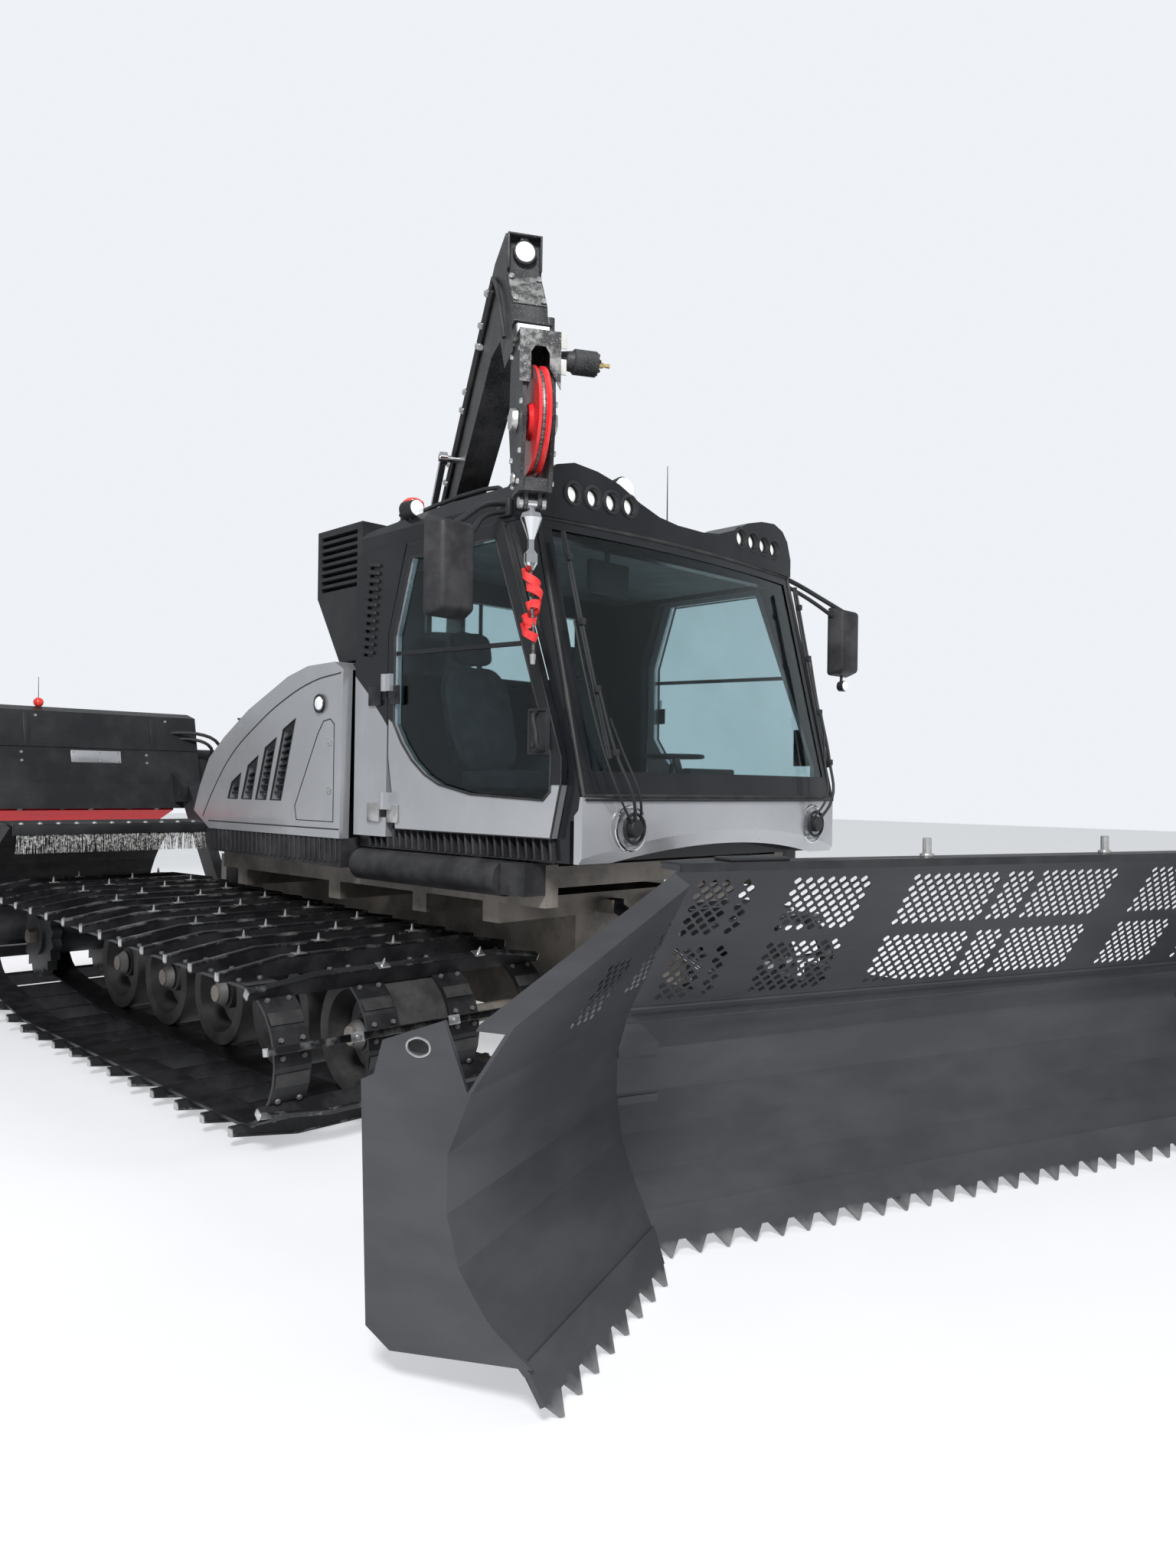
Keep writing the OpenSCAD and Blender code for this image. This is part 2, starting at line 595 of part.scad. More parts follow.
// Outline of the door's window: it ends below in a long curve
pane_line = [[door_hinge_y - 60, 1870], [door_hinge_y - 130, 1770], [door_hinge_y - 220, 1680],
    [door_hinge_y - 330, 1605], [door_hinge_y - 450, 1555],
    [door_hinge_y - 700, 1510], [foot_y + 190, 1490], [foot_y + 145, 1530], [foot_y + 140, 1690],
        [head_y + 215, 2720], [door_hinge_y - 195, 2720], [door_hinge_y - 60, 2330]];
module door(s) {
    color(silver) difference() {
        union() {
            side_plate(s > 0 ? door_x : -door_x - door_t, door_t, door_line);
            for (z = [1420, 2040]) translate([s * hinge_x, door_hinge_y, z]) cylinder(r = 20, h = 90);
            for (z = [1420, 2040])
                box([min(s * (door_x + door_t - 1), s * (hinge_x + 10)), door_hinge_y - 60, z],
                    [max(s * (door_x + door_t - 1), s * (hinge_x + 10)), door_hinge_y, z + 90]);
        }
        side_plate(s > 0 ? door_x - 5 : -door_x - door_t - 5, door_t + 10, pane_line);
    }
}
module door_glass(s) {
    color(tint) side_plate(s > 0 ? door_x + 20 : -door_x - 20 - glass_t, glass_t, grow(pane_line, [-850, 2050],
        0.9996));
}
module door_right() { door(-1); }
module door_left() { door(1); }
module door_glass_right() { door_glass(-1); }
module door_glass_left() { door_glass(1); }

// Blade frame

beam_x0 = pivot_x0 + pivot_lug + 5;
beam_w = 80;
push_nose_y = blade_pivot_y + 170;
module push_frame() {
    color(black) difference() {
        union() {
            both_sides(beam_x0, beam_w, [[push_pivot.y + 52, 572], [push_pivot.y + 52, 628],
                [push_pivot.y + 26, 654], [push_nose_y + 330, 560], [push_nose_y + 20, 560], [push_nose_y + 20,
                400], [push_nose_y + 330, 400], [push_pivot.y + 26, 546]]);
            box([-beam_x0 - beam_w, push_nose_y, 400], [beam_x0 + beam_w, push_nose_y + 160, 560]);
            // Fork plates round the turning pivot
            for (z = [380, 560]) {
                box([-130, blade_pivot_y, z], [130, push_nose_y + 40, z + 30]);
                translate([0, blade_pivot_y, z]) cylinder(r = 110, h = 30);
            }
            translate([0, blade_pivot_y, 360]) cylinder(r = pin_r, h = 250);
            // Anchors of the lift cylinders
            for (s = [-1, 1], k = [-1, 1]) {
                side_plate(s * lift_x + k * 45 - 8, 16, [[lift_foot.y - 40, 670], [lift_foot.y - 40, 470],
                    [lift_foot.y + 40, 470], [lift_foot.y + 40, 670]]);
                bar_x([s * lift_x + k * 57, lift_foot.y, lift_foot.z], 26, 16);
            }
            box([-beam_x0 - 5, lift_foot.y - 40, 440], [beam_x0 + 5, lift_foot.y + 40, 500]);
            // Anchors of the angle cylinders
            for (s = [-1, 1]) {
                for (k = [-1, 1])
                    box([s * angle_foot.x - 30, angle_foot.y - 30, angle_foot.z + k * 36 - 7],
                        [s * angle_foot.x + 30, angle_foot.y + 70, angle_foot.z + k * 36 + 7]);
                box([s * angle_foot.x - 30, angle_foot.y + 45, 560], [s * angle_foot.x + 30, angle_foot.y + 70,
                    angle_foot.z + 43]);
                translate([s * angle_foot.x, angle_foot.y, angle_foot.z - 42]) cylinder(r = 16, h = 84);
            }
        }
        for (s = [-1, 1]) bar_x([s * (beam_x0 + beam_w / 2), push_pivot.y, push_pivot.z], pin_r + pin_play,
            beam_w + 20);
    }
}

// Hydraulic cylinders: a barrel with a ring at its pivot and a rod with a ring at its far end.
// a is the barrel's pivot and b the rod's eye, both in a plane across the given axis.
// r is the barrel's radius, len the length of barrel or rod from its ring, pin the pin's radius.
rod_ratio = 0.56;
module cyl_barrel(a, b, r, eye_r, w, axis, len, pin) {
    d = (b - a) / norm(b - a);
    difference() {
        union() {
            rod(a + d * (eye_r - 4), a + d * len, r);
            eye_solid(a, eye_r, w, axis);
        }
        eye_hole(a, axis, pin + pin_play, w);
        rod(a + d * (eye_r + 14), a + d * (len + 10), r * rod_ratio + 0.1);
    }
}
module cyl_rod(a, b, r, eye_r, w, axis, len) {
    d = (a - b) / norm(b - a);
    rod(b + d * (eye_r - 4), b + d * len, r * rod_ratio);
    eye_solid(b, eye_r, w, axis);
}
module eye_turn(axis) { if (axis == "x") rotate([0, 90, 0]) children(); else children(); }
module eye_solid(p, r, w, axis) { translate(p) eye_turn(axis) translate([0, 0, -w / 2]) cylinder(r = r, h = w); }
module eye_hole(p, axis, r, w) { translate(p) eye_turn(axis) translate([0, 0, -w / 2 - 1]) cylinder(r = r,
    h = w + 2); }

lift_eye_r = 37;
module lift_barrels() {
    color(black) for (s = [-1, 1])
        cyl_barrel(side(lift_top, s), side(lift_foot, s), 34, lift_eye_r, 70, "x", 430, 22);
}
module lift_rods() {
    color(silver) for (s = [-1, 1])
        cyl_rod(side(lift_top, s), side(lift_foot, s), 34, lift_eye_r, 64, "x", 500);
}

// Carrier between the blade frame's turning pivot and the blade's tilt pin
tilt_z = 480;
plate_y = -150;
angle_eye = [430, -60, 630];
module blade_carrier() {
    color(black) at_blade() difference() {
        union() {
            translate([0, 0, 415]) cylinder(r = 75, h = 140);
            box([-150, plate_y + 10, 415], [150, -40, 555]);
            box([-470, plate_y, 415], [470, plate_y + 34, 664]);
            translate([0, plate_y + 1, tilt_z]) rotate([90, 0, 0]) cylinder(r = 60, h = 66);
            // Lugs and pins of the angle cylinders
            for (s = [-1, 1]) {
                for (z = [592, 654])
                    box([s * angle_eye.x - 30, plate_y + 20, z], [s * angle_eye.x + 30, angle_eye.y + 22, z + 14]);
                for (z = [586, 668]) translate([s * angle_eye.x, angle_eye.y, z]) cylinder(r = 22, h = 6.5);
            }
        }
        translate([0, 0, 350]) cylinder(r = pin_r + pin_play, h = 260);
    }
}
angle_foot = [380, blade_pivot_y + 716, 630];
function angle_a(s) = side(angle_foot, s);
function angle_b(s) = turned(side(angle_eye, s) + [0, blade_pivot_y, 0], [0, blade_pivot_y], blade_yaw);
module angle_barrel(s) { color(black) cyl_barrel(angle_a(s), angle_b(s), 27, 30, 46, "z", 517, 16); }
module angle_rod(s) { color(silver) cyl_rod(angle_a(s), angle_b(s), 27, 30, 46, "z", 570); }
module angle_barrel_right() { angle_barrel(-1); }
module angle_barrel_left() { angle_barrel(1); }
module angle_rod_right() { angle_rod(-1); }
module angle_rod_left() { angle_rod(1); }

module teeth(x0, x1) {
    n = round((x1 - x0) / tooth_pitch);
    p = (x1 - x0) / n;
    slope = atan2(110, 70);
    translate([0, edge_y, 0]) rotate([slope, 0, 0]) translate([0, 0, -8]) linear_extrude(16)
        polygon(concat([[x0, 160]], [for (i = [0 : n - 1]) each [[x0 + i * p, 55], [x0 + (i + 0.15) * p, 55],
            [x0 + (i + 0.5) * p, 2], [x0 + (i + 0.85) * p, 55]]], [[x1, 55], [x1, 160]]));
}
mould_solid = strip([for (i = [1 : len(mould_line) - 1]) mould_line[i]], blade_t);
module blade_main() {
    color(steel) at_blade() difference() {
        union() {
            side_plate(-blade_half, 2 * blade_half, mould_solid);
            teeth(-blade_half, blade_half);
            // Folded top flange
            box([-blade_half, edge_y - 110, 1290], [blade_half, edge_y + 10, 1310]);
            // Back box with the tilt socket
            side_plate(-260, 520, [[edge_y + 287, 380], [edge_y + 376, 380], [edge_y + 376, 640],
                [edge_y + 303, 640], [edge_y + 311, 618], [edge_y + 311, 472]]);
            both_sides(261, 20, [[edge_y + 248, 300], [edge_y + 376, 380], [edge_y + 376, 640], [edge_y + 255, 760],
                [edge_y + 311, 618], [edge_y + 311, 472], [edge_y + 277, 340]]);
            // Hinge posts of the wings
            for (s = [-1, 1], z = [390, 600]) {
                translate([s * wing_hinge.x, wing_hinge.y, z]) cylinder(r = 28, h = 70);
                box([s * wing_hinge.x - (s > 0 ? 160 : 0), wing_hinge.y - 55, z],
                    [s * wing_hinge.x + (s > 0 ? 0 : 160), wing_hinge.y + 5, z + 70]);
            }
            // Anchors of the wing cylinders
            for (s = [-1, 1]) wing_anchor(s);
        }
        translate([0, edge_y + 400, tilt_z]) rotate([90, 0, 0]) cylinder(r = 60 + gap, h = 80);
        for (s = [-1, 1]) translate([s * wing_hinge.x, wing_hinge.y, 290]) cylinder(r = 15 + pin_play, h = 500);
    }
}
wing_cyl_a = [wing_hinge.x - 800, wing_hinge.y + 130, 520];
module wing_anchor(s) {
    translate([s * wing_cyl_a.x, wing_cyl_a.y, wing_cyl_a.z - 60]) cylinder(r = 16, h = 120);
    for (k = [-1, 1])
        box([s * wing_cyl_a.x - 30, edge_y + 308, wing_cyl_a.z + k * 50 - 8], [s * wing_cyl_a.x + 30,
            wing_cyl_a.y + 25, wing_cyl_a.z + k * 50 + 8]);
}

// The space of height h under a wing's top, which slopes down to the outer end, seen from the front
wing_top = [[blade_half - 10, 1312], [blade_half + 300, 1312], [blade_half + wing_len + 1, 960]];
module top_slope(s, h) {
    translate([0, 200, 0]) rotate([90, 0, 0]) linear_extrude(1200)
        polygon([for (p = concat(wing_top, [for (i = [2 : -1 : 0]) wing_top[i] - [0, h]])) [s * p.x, p.y]]);
}
// A wing in the blade's frame, unfolded; s is -1 on the right
wing_cyl_b = [wing_hinge.x + 110, wing_hinge.y + 240, 520];
module wing_flat(s) {
    difference() {
        union() {
            intersection() {
                union() {
                    side_plate(s > 0 ? blade_half : -blade_half - wing_len, wing_len, mould_solid);
                    teeth(s > 0 ? blade_half : -blade_half - wing_len, s > 0 ? blade_half + wing_len : -blade_half);
                    intersection() {
                        side_plate(s > 0 ? blade_half : -blade_half - wing_len, wing_len,
                            strip([for (i = [6 : 7]) mould_line[i]], 95));
                        top_slope(s, 20);
                    }
                }
                // Inner edge cut for the fold, seen from above
                translate([0, 0, -20]) linear_extrude(1400) polygon([[s * (blade_half + wing_gap(edge_y - 160)), edge_y - 160],
                    [s * (blade_half + wing_gap(wing_hinge.y - 10)), wing_hinge.y - 10],
                        [s * (blade_half + wing_len), wing_hinge.y - 10], [s * (blade_half + wing_len),
                        edge_y - 160]]);
                // Top sloping down to the outer end, seen from the front
                top_slope(s, 1400);
            }
            // End plate
            side_plate(s > 0 ? blade_half + wing_len - 12 : -blade_half - wing_len, 12, [[edge_y + 60, 130],
                [edge_y + 470, 90], [edge_y + 545, 140], [edge_y + 570, 780], [edge_y + 530, 800],
                [edge_y + 505, 890], [edge_y + 320, 958], [edge_y + 250, 780], [edge_y + 317, 620],
                [edge_y + 317, 470], [edge_y + 280, 340], [edge_y + 200, 230]]);
            // Hinge ears and the cylinder's anchor
            for (z = [465]) {
                translate([s * wing_hinge.x, wing_hinge.y, z]) cylinder(r = 28, h = 130);
                translate([s * wing_hinge.x, wing_hinge.y, z]) linear_extrude(130)
                    polygon([for (p = [[0, -15], [40, -15], [75, -42], [330, -42], [330, 5], [0, 5]]) [s * p.x,
                        p.y]]);
            }
            translate([s * wing_hinge.x, wing_hinge.y, 370]) cylinder(r = 15, h = 320);
            for (k = [-1, 1])
                box([s * wing_cyl_b.x - 30, edge_y + 308, wing_cyl_b.z + k * 50 - 8], [s * wing_cyl_b.x + 30,
                    wing_cyl_b.y + 25, wing_cyl_b.z + k * 50 + 8]);
            for (k = [-1, 1]) translate([s * wing_cyl_b.x, wing_cyl_b.y,
                wing_cyl_b.z + k * 60 - 5]) cylinder(r = 22, h = 10);
        }
    }
}
// Fold a thing in the blade's frame forwards about a wing's hinge
module folded(s, angle) {
    translate([s * wing_hinge.x, wing_hinge.y, 0]) rotate([0, 0, -s * angle]) translate([-s * wing_hinge.x,
        -wing_hinge.y, 0]) children();
}
module wing(s) { color(steel) at_blade() folded(s, wing_fold) wing_flat(s); }
module wing_right() { wing(-1); }
module wing_left() { wing(1); }

function turned(p, c, a) = [c.x + (p.x - c.x) * cos(a) - (p.y - c.y) * sin(a),
    c.y + (p.x - c.x) * sin(a) + (p.y - c.y) * cos(a), p.z];
function wing_a(s) = [s * wing_cyl_a.x, wing_cyl_a.y, wing_cyl_a.z];
function wing_b(s) = turned([s * wing_cyl_b.x, wing_cyl_b.y, wing_cyl_b.z], [s * wing_hinge.x, wing_hinge.y],
    -s * wing_fold);
module wing_barrel(s) { color(black) at_blade() cyl_barrel(wing_a(s), wing_b(s), 26, 30, 46, "z", 560, 16); }
module wing_rod(s) { color(silver) at_blade() cyl_rod(wing_a(s), wing_b(s), 26, 30, 46, "z", 640); }
module wing_barrel_right() { wing_barrel(-1); }
module wing_barrel_left() { wing_barrel(1); }
module wing_rod_right() { wing_rod(-1); }
module wing_rod_left() { wing_rod(1); }

// Winch boom

luff_cyl_a = [-165, -180, luff_z - 80];
luff_cyl_b = [-165, -1250, luff_z + 510];
module boom_turret() {
    color(black) at_turret() {
        translate([0, 0, ring_z + gap]) cylinder(r = pedestal_r + 40, h = 60);
        for (s = [-1, 1])
            side_plate(s * (boom_w / 2 + 25) - 15, 30, [[-390, ring_z + 40], [200, ring_z + 40], [130,
                luff.y + 90], [-luff.x - 150, luff.y + 90], [-390, ring_z + 160]]);
        bar_x([0, -luff.x, luff.y], pin_r, boom_w + 110);
        bar_x([-150, luff_cyl_a.y, luff_cyl_a.z], 22, 90);
    }
}
arm_y = -head_reach;
boom_arm = [[110, luff_z - 90], [110, luff_z + 90], [-60, luff_z + 150], [arm_y + 470, boom_tip_z - 30],
    [arm_y + 230, boom_tip_z], [arm_y + 210, boom_tip_z - 190], [arm_y + 90, 3640], [arm_y + 50, 3420],
    [arm_y + 220, 3400], [arm_y + 320, 3560], [arm_y + 520, 3560], [arm_y + 1350, 3200], [arm_y + 1650, 3080],
    [-620, 2965], [-300, luff_z + 10], [-120, luff_z - 90]];
module boom() {
    color(black) at_turret() difference() {
        union() {
            side_plate(-boom_w / 2, boom_w, boom_arm);
            // Cheeks of the head, closed by a bridge below the sheave
            for (s = [-1, 1])
                side_plate(s * 62 - 9, 18, [[-head_reach - 90, 3430], [-head_reach + 120, 3500],
                    [-head_reach + 150, 3100], [-head_reach + 70, 2790], [-head_reach - 70, 2790],
                    [-head_reach - 120, 3100]]);
            box([-70, -head_reach - 60, 2795], [70, -head_reach + 60, 2850]);
            // Clevis that the rope's swivel hangs from
            for (s = [-1, 1])
                side_plate(s * 30 - 8, 16, [[-head_reach - 28, swivel_z - 12], [-head_reach - 16, swivel_z - 26],
                    [-head_reach + 16, swivel_z - 26], [-head_reach + 28, swivel_z - 12],
                    [-head_reach + 28, 2796], [-head_reach - 28, 2796]]);
            bar_x([0, -head_reach, swivel_z], 14, 84);
            bar_x([0, -head_reach, sheave_z], pin_r, 190);
        }
        bar_x([0, -luff.x, luff.y], pin_r + pin_play, boom_w + 20);
    }
}
module boom_barrel() { color(black) at_turret() cyl_barrel(luff_cyl_a, luff_cyl_b, 36, 37, 40, "x", 640, 22); }
module boom_rod() {
    color(silver) at_turret() {
        cyl_rod(luff_cyl_a, luff_cyl_b, 36, 34, 40, "x", 760);
        // Pin from the eye to just beside the arm
        bar_x([(-boom_w / 2 - 1 + luff_cyl_b.x - 26) / 2, luff_cyl_b.y, luff_cyl_b.z], 18,
            abs(luff_cyl_b.x) + 26 - boom_w / 2 - 1);
    }
}
module sheave() {
    w = 62;
    color(red) at_turret() translate([-w / 2, -head_reach, sheave_z]) rotate([0, 90, 0])
        rotate_extrude($fn = 72) polygon([[pin_r + pin_play, 0], [70, 0], [80, 18], [sheave_r - 50, 20],
            [sheave_r, 4], [sheave_r, 16],
            [sheave_r - 26, w / 2], [sheave_r, w - 16], [sheave_r, w - 4], [sheave_r - 50, w - 20], [80,
                w - 18], [70, w], [pin_r + pin_play, w]]);
}
// Swivel and cone at the rope's end
swivel_z = 2755;
cone_foot = 2470;
module rope_end() {
    color("#9a9ea0") at_turret() translate([0, -head_reach, 0]) difference() {
        union() {
            bar_x([0, 0, swivel_z], 26, 40);
            rotate_extrude() polygon([[0, swivel_z - 20], [17, swivel_z - 20], [17, 2718], [40, 2712], [48,
                2690], [14, 2600],
                [14, 2560], [30, 2540], [30, 2500], [12, cone_foot], [0, cone_foot]]);
        }
        bar_x([0, 0, swivel_z], 14 + pin_play, 60);
    }
}
// Loose end of the rope below the cone, along its own points
rope_r = 7;
rope_run = [for (p = [[0, 0, 2470], [0, 0, 2430], [1, -1, 2390], [3, -2, 2350], [6, -4, 2310], [9, -6, 2270],
    [12, -7, 2230], [14, -7, 2190], [15, -6, 2150], [15, -4, 2110], [14, -2, 2070]]) p + [0, -head_reach, 0]];
rope_sides = 10;
module rope_tail() {
    rings = [for (p = rope_run) [for (i = [0 : rope_sides - 1]) p + rope_r * [cos(i * 360 / rope_sides),
        sin(i * 360 / rope_sides), 0]]];
    last = len(rings) - 1;
    color("#3a3c3e") at_turret() polyhedron(
        points = [for (r = rings) each r],
        faces = concat([[for (i = [0 : rope_sides - 1]) i]],
            [[for (i = [rope_sides - 1 : -1 : 0]) last * rope_sides + i]],
            [for (k = [0 : last - 1], i = [0 : rope_sides - 1]) let (j = (i + 1) % rope_sides)
                [k * rope_sides + i, (k + 1) * rope_sides + i, (k + 1) * rope_sides + j, k * rope_sides + j]]));
}

// Tiller

arm_x0 = pivot_x0 + pivot_lug + 5;
arm_end = [0, drum_y - 430, drum_z - 50];
module tiller_arms() {
    color(black) difference() {
        union() {
            both_sides(arm_x0, 80, [[tiller_pivot.y - 55, tiller_pivot.z - 55], [tiller_pivot.y + 60,
                tiller_pivot.z - 55], [arm_end.y + 55, arm_end.z - 60], [arm_end.y + 55, arm_end.z + 55],
                [arm_end.y - 60, arm_end.z + 55], [tiller_pivot.y - 55, tiller_pivot.z + 60]]);
            box([-arm_x0 - 5, 3275, 1100], [arm_x0 + 5, 3345, 1170]);
            for (s = [-1, 1]) {
                for (k = [-1, 1])
                    side_plate(s * tiller_cyl_b.x + k * 40 - 8, 16, [[tiller_cyl_b.y - 32,
                        tiller_cyl_b.z - 32], [tiller_cyl_b.y + 32, tiller_cyl_b.z - 32], [3345, 1101], [3275,
                        1169], [tiller_cyl_b.y - 32, tiller_cyl_b.z + 32]]);
                for (k = [-1, 1]) bar_x(side(tiller_cyl_b, s) + [k * 51, 0, 0], 26, 12);
            }
            for (s = [-1, 1]) bar_x([s * (arm_x0 + 65), arm_end.y, arm_end.z], pin_r, 130);
        }
        for (s = [-1, 1]) bar_x([s * (arm_x0 + 40), tiller_pivot.y, tiller_pivot.z], pin_r + pin_play, 100);
    }
}
tiller_cyl_a = [150, tub_y1 + 60, 420];
tiller_cyl_b = [150, 3220, 1030];
module tiller_barrels() {
    color(black) for (s = [-1, 1]) cyl_barrel(side(tiller_cyl_a, s), side(tiller_cyl_b, s), 34, 37, 60, "x", 340, 22);
}
module tiller_rods() {
    color(silver) for (s = [-1, 1]) cyl_rod(side(tiller_cyl_a, s), side(tiller_cyl_b, s), 34, 37, 60, "x", 370);
}
cover_r = drum_r + 90;
tiller_in = 230;
cover_end = -40;
function on_cover(r) = [drum_y, drum_z] + r * [cos(cover_end - 0.1), sin(cover_end - 0.1)];
module tiller_body() {
    c = [drum_y, drum_z];
    color(black) difference() {
        union() {
            // Curved cover over each drum, with the upright front skin and its mat
            for (s = [-1, 1]) {
                side_plate(s > 0 ? tiller_in : -tiller_half, tiller_half - tiller_in, concat(arc(c, cover_r,
                    cover_end, 175, 16), arc(c, cover_r - 14, 175, cover_end, 16)));
                side_plate(s > 0 ? tiller_in : -tiller_half, tiller_half - tiller_in, [[drum_y - cover_r - 60,
                    drum_z - 170], [drum_y - cover_r - 46, drum_z - 170], [drum_y - cover_r + 16, drum_z + 20],
                    [drum_y - 150, drum_z + 560], [drum_y - 20, drum_z + 600], [drum_y - 20, drum_z + 614],
                    [drum_y - 170, drum_z + 575], [drum_y - cover_r, drum_z + 20]]);
                for (x = [tiller_in, tiller_half - 20])
                    side_plate(s > 0 ? x : -x - 20, 20, concat(arc(c, cover_r - 2, 0, 180, 12),
                        [[drum_y - cover_r - 50, drum_z - 160], [drum_y + cover_r - 20, drum_z - 160]]));
            }
            // Middle gearbox and the brackets to the arms
            box([-tiller_in + 2, drum_y - 150, drum_z - 120], [tiller_in - 2, drum_y + 150, drum_z + 240]);
            bar_x([0, drum_y, drum_z + 262], 60, 1200);
            for (s = [-1, 1])
                side_plate(s > 0 ? arm_x0 + 85 : -arm_x0 - 125, 40, [[arm_end.y - 60, arm_end.z - 60],
                    [drum_y - cover_r - 50, arm_end.z - 70],
                    [drum_y - cover_r + 30, drum_z + 90], [drum_y - cover_r + 20, drum_z + 120],
                        [arm_end.y - 60, arm_end.z + 60]]);
        }
        for (s = [-1, 1]) bar_x([s * (arm_x0 + 105), arm_end.y, arm_end.z], pin_r + pin_play, 80);
        for (s = [-1, 1]) bar_x([s * tiller_half / 2, drum_y, drum_z], 50 + gap, tiller_half + 100);
    }
}
module tiller_comb() {
    rib = 110;
    color(red) for (s = [-1, 1]) {
        side_plate(s > 0 ? tiller_in + 5 : -tiller_half + 5, tiller_half - tiller_in - 10,
            [on_cover(cover_r - 14), on_cover(cover_r), [comb_y, drum_z - 330], [comb_y, drum_z - 345],
            on_cover(cover_r - 14) - [10, 20]]);
        for (i = [0 : floor((tiller_half - tiller_in - 60) / rib)])
            side_plate(s * (tiller_in + 30 + i * rib) - 6, 12, [[drum_y + cover_r * 0.9, drum_z - 200],
                [comb_y - 20, drum_z - 335], [comb_y - 60, drum_z - 290], [drum_y + cover_r * 0.95, drum_z - 170]]);
    }
}
module tiller_drum() {
    mid = (tiller_half + tiller_in) / 2;
    color(steel) for (s = [-1, 1]) {
        bar_x([s * mid, drum_y, drum_z], 50, tiller_half - tiller_in - 6);
        bar_x([s * mid, drum_y, drum_z], 100, tiller_half - tiller_in - 70);
        for (i = [0 : 13], k = [0 : 2])
            translate([s * (tiller_in + 90 + i * (tiller_half - tiller_in - 180) / 13), drum_y,
                drum_z]) rotate([k * 120 + i * 40, 0, 0])
                translate([-15, -20, 0]) cube([30, 40, drum_r - 6]);
    }
}

chassis_frame();
wheels();
sprockets();
track_right();
track_left();
engine_block();
winch_base();
cab_shell();
quarter_panels();
roof();
nose();
cab_glass();
seats();
dashboard();
rear_body();
deck();
intake_box();
skirts();
mudguards();
mirrors();
lamps();
door_right();
door_glass_right();
door_left();
door_glass_left();
push_frame();
lift_barrels();
lift_rods();
blade_carrier();
angle_barrel_right();
angle_rod_right();
angle_barrel_left();
angle_rod_left();
blade_main();
wing_right();
wing_left();
wing_barrel_right();
wing_rod_right();
wing_barrel_left();
wing_rod_left();
boom_turret();
boom();
boom_barrel();
boom_rod();
sheave();
rope_end();
rope_tail();
tiller_arms();
tiller_barrels();
tiller_rods();
tiller_body();
tiller_comb();
tiller_drum();
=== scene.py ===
# %% [markdown]
# # Snow groomer
# The solid model gives every main form in its true place. This lesson dresses it:
# finishes for the solids, and the fittings, seams, holes and bolts that were too fine for them.
# Everything is in metres, X to the machine's left, Y to its rear and Z up.

# %% Load the solid model
import math
import bpy
import numpy as np
from mathutils import Matrix, Vector


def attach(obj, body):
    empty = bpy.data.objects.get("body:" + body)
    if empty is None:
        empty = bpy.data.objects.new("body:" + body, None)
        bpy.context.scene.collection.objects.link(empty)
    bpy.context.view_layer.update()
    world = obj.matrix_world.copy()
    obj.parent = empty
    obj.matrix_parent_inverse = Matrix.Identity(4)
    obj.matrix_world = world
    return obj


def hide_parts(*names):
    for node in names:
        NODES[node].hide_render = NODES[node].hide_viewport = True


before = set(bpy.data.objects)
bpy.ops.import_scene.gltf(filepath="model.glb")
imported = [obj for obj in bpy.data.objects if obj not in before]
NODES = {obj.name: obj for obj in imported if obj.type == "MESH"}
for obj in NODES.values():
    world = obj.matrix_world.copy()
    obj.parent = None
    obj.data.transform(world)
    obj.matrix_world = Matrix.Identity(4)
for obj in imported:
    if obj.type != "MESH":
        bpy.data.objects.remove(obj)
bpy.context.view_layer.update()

# %% [markdown]
# ## Camera
# The photograph is taken at eye height from the machine's front right corner, with a wide lens.

# %% Camera
EYE = (-4.35, -5.007, 1.558)
yaw, pitch, roll = math.radians(45.0), math.radians(0.1), math.radians(0.8)
look = Vector((math.sin(yaw) * math.cos(pitch), math.cos(yaw) * math.cos(pitch), math.sin(pitch)))
level = Vector((math.cos(yaw), -math.sin(yaw), 0))
right = math.cos(roll) * level + math.sin(roll) * level.cross(look)
lens = bpy.data.cameras.new("camera")
lens.sensor_width, lens.lens = 36, 24.96
camera = bpy.data.objects.new("camera", lens)
bpy.context.scene.collection.objects.link(camera)
turn = Matrix((right, right.cross(look), -look)).transposed().to_4x4()
camera.matrix_world = Matrix.Translation(EYE) @ turn
bpy.context.scene.camera = camera
bpy.context.scene.view_settings.view_transform = "Standard"
print("camera at", [round(v, 2) for v in camera.location])

# %% [markdown]
# ## Tools for the bench
# Blender's operators work on whatever is selected, and the solids are still selected after loading.
# So each tool below clears the selection first. A piece ends with its place in its mesh,
# because the pattern of a finish is read from the object's own coordinates.

# %% Selecting, settling and changing
def clear():
    if bpy.context.object and bpy.context.object.mode != "OBJECT":
        bpy.ops.object.mode_set(mode="OBJECT")
    bpy.ops.object.select_all(action="DESELECT")


def only(piece):
    clear()
    piece.select_set(True)
    bpy.context.view_layer.objects.active = piece
    return piece


def settle(piece):
    only(piece)
    bpy.ops.object.transform_apply(location=True, rotation=True, scale=True)
    return piece


def edit_all(piece):
    only(piece)
    bpy.ops.object.mode_set(mode="EDIT")
    bpy.ops.mesh.select_all(action="SELECT")


def changed(piece, kind, **settings):
    """Add one modifier with its settings and apply it."""
    only(piece)
    step = piece.modifiers.new(kind.lower(), kind)
    for key, value in settings.items():
        setattr(step, key, value)
    bpy.ops.object.modifier_apply(modifier=step.name)
    return piece


def soften(piece, width, steps=2):
    return changed(piece, "BEVEL", width=width, segments=steps, limit_method="ANGLE") if width else piece


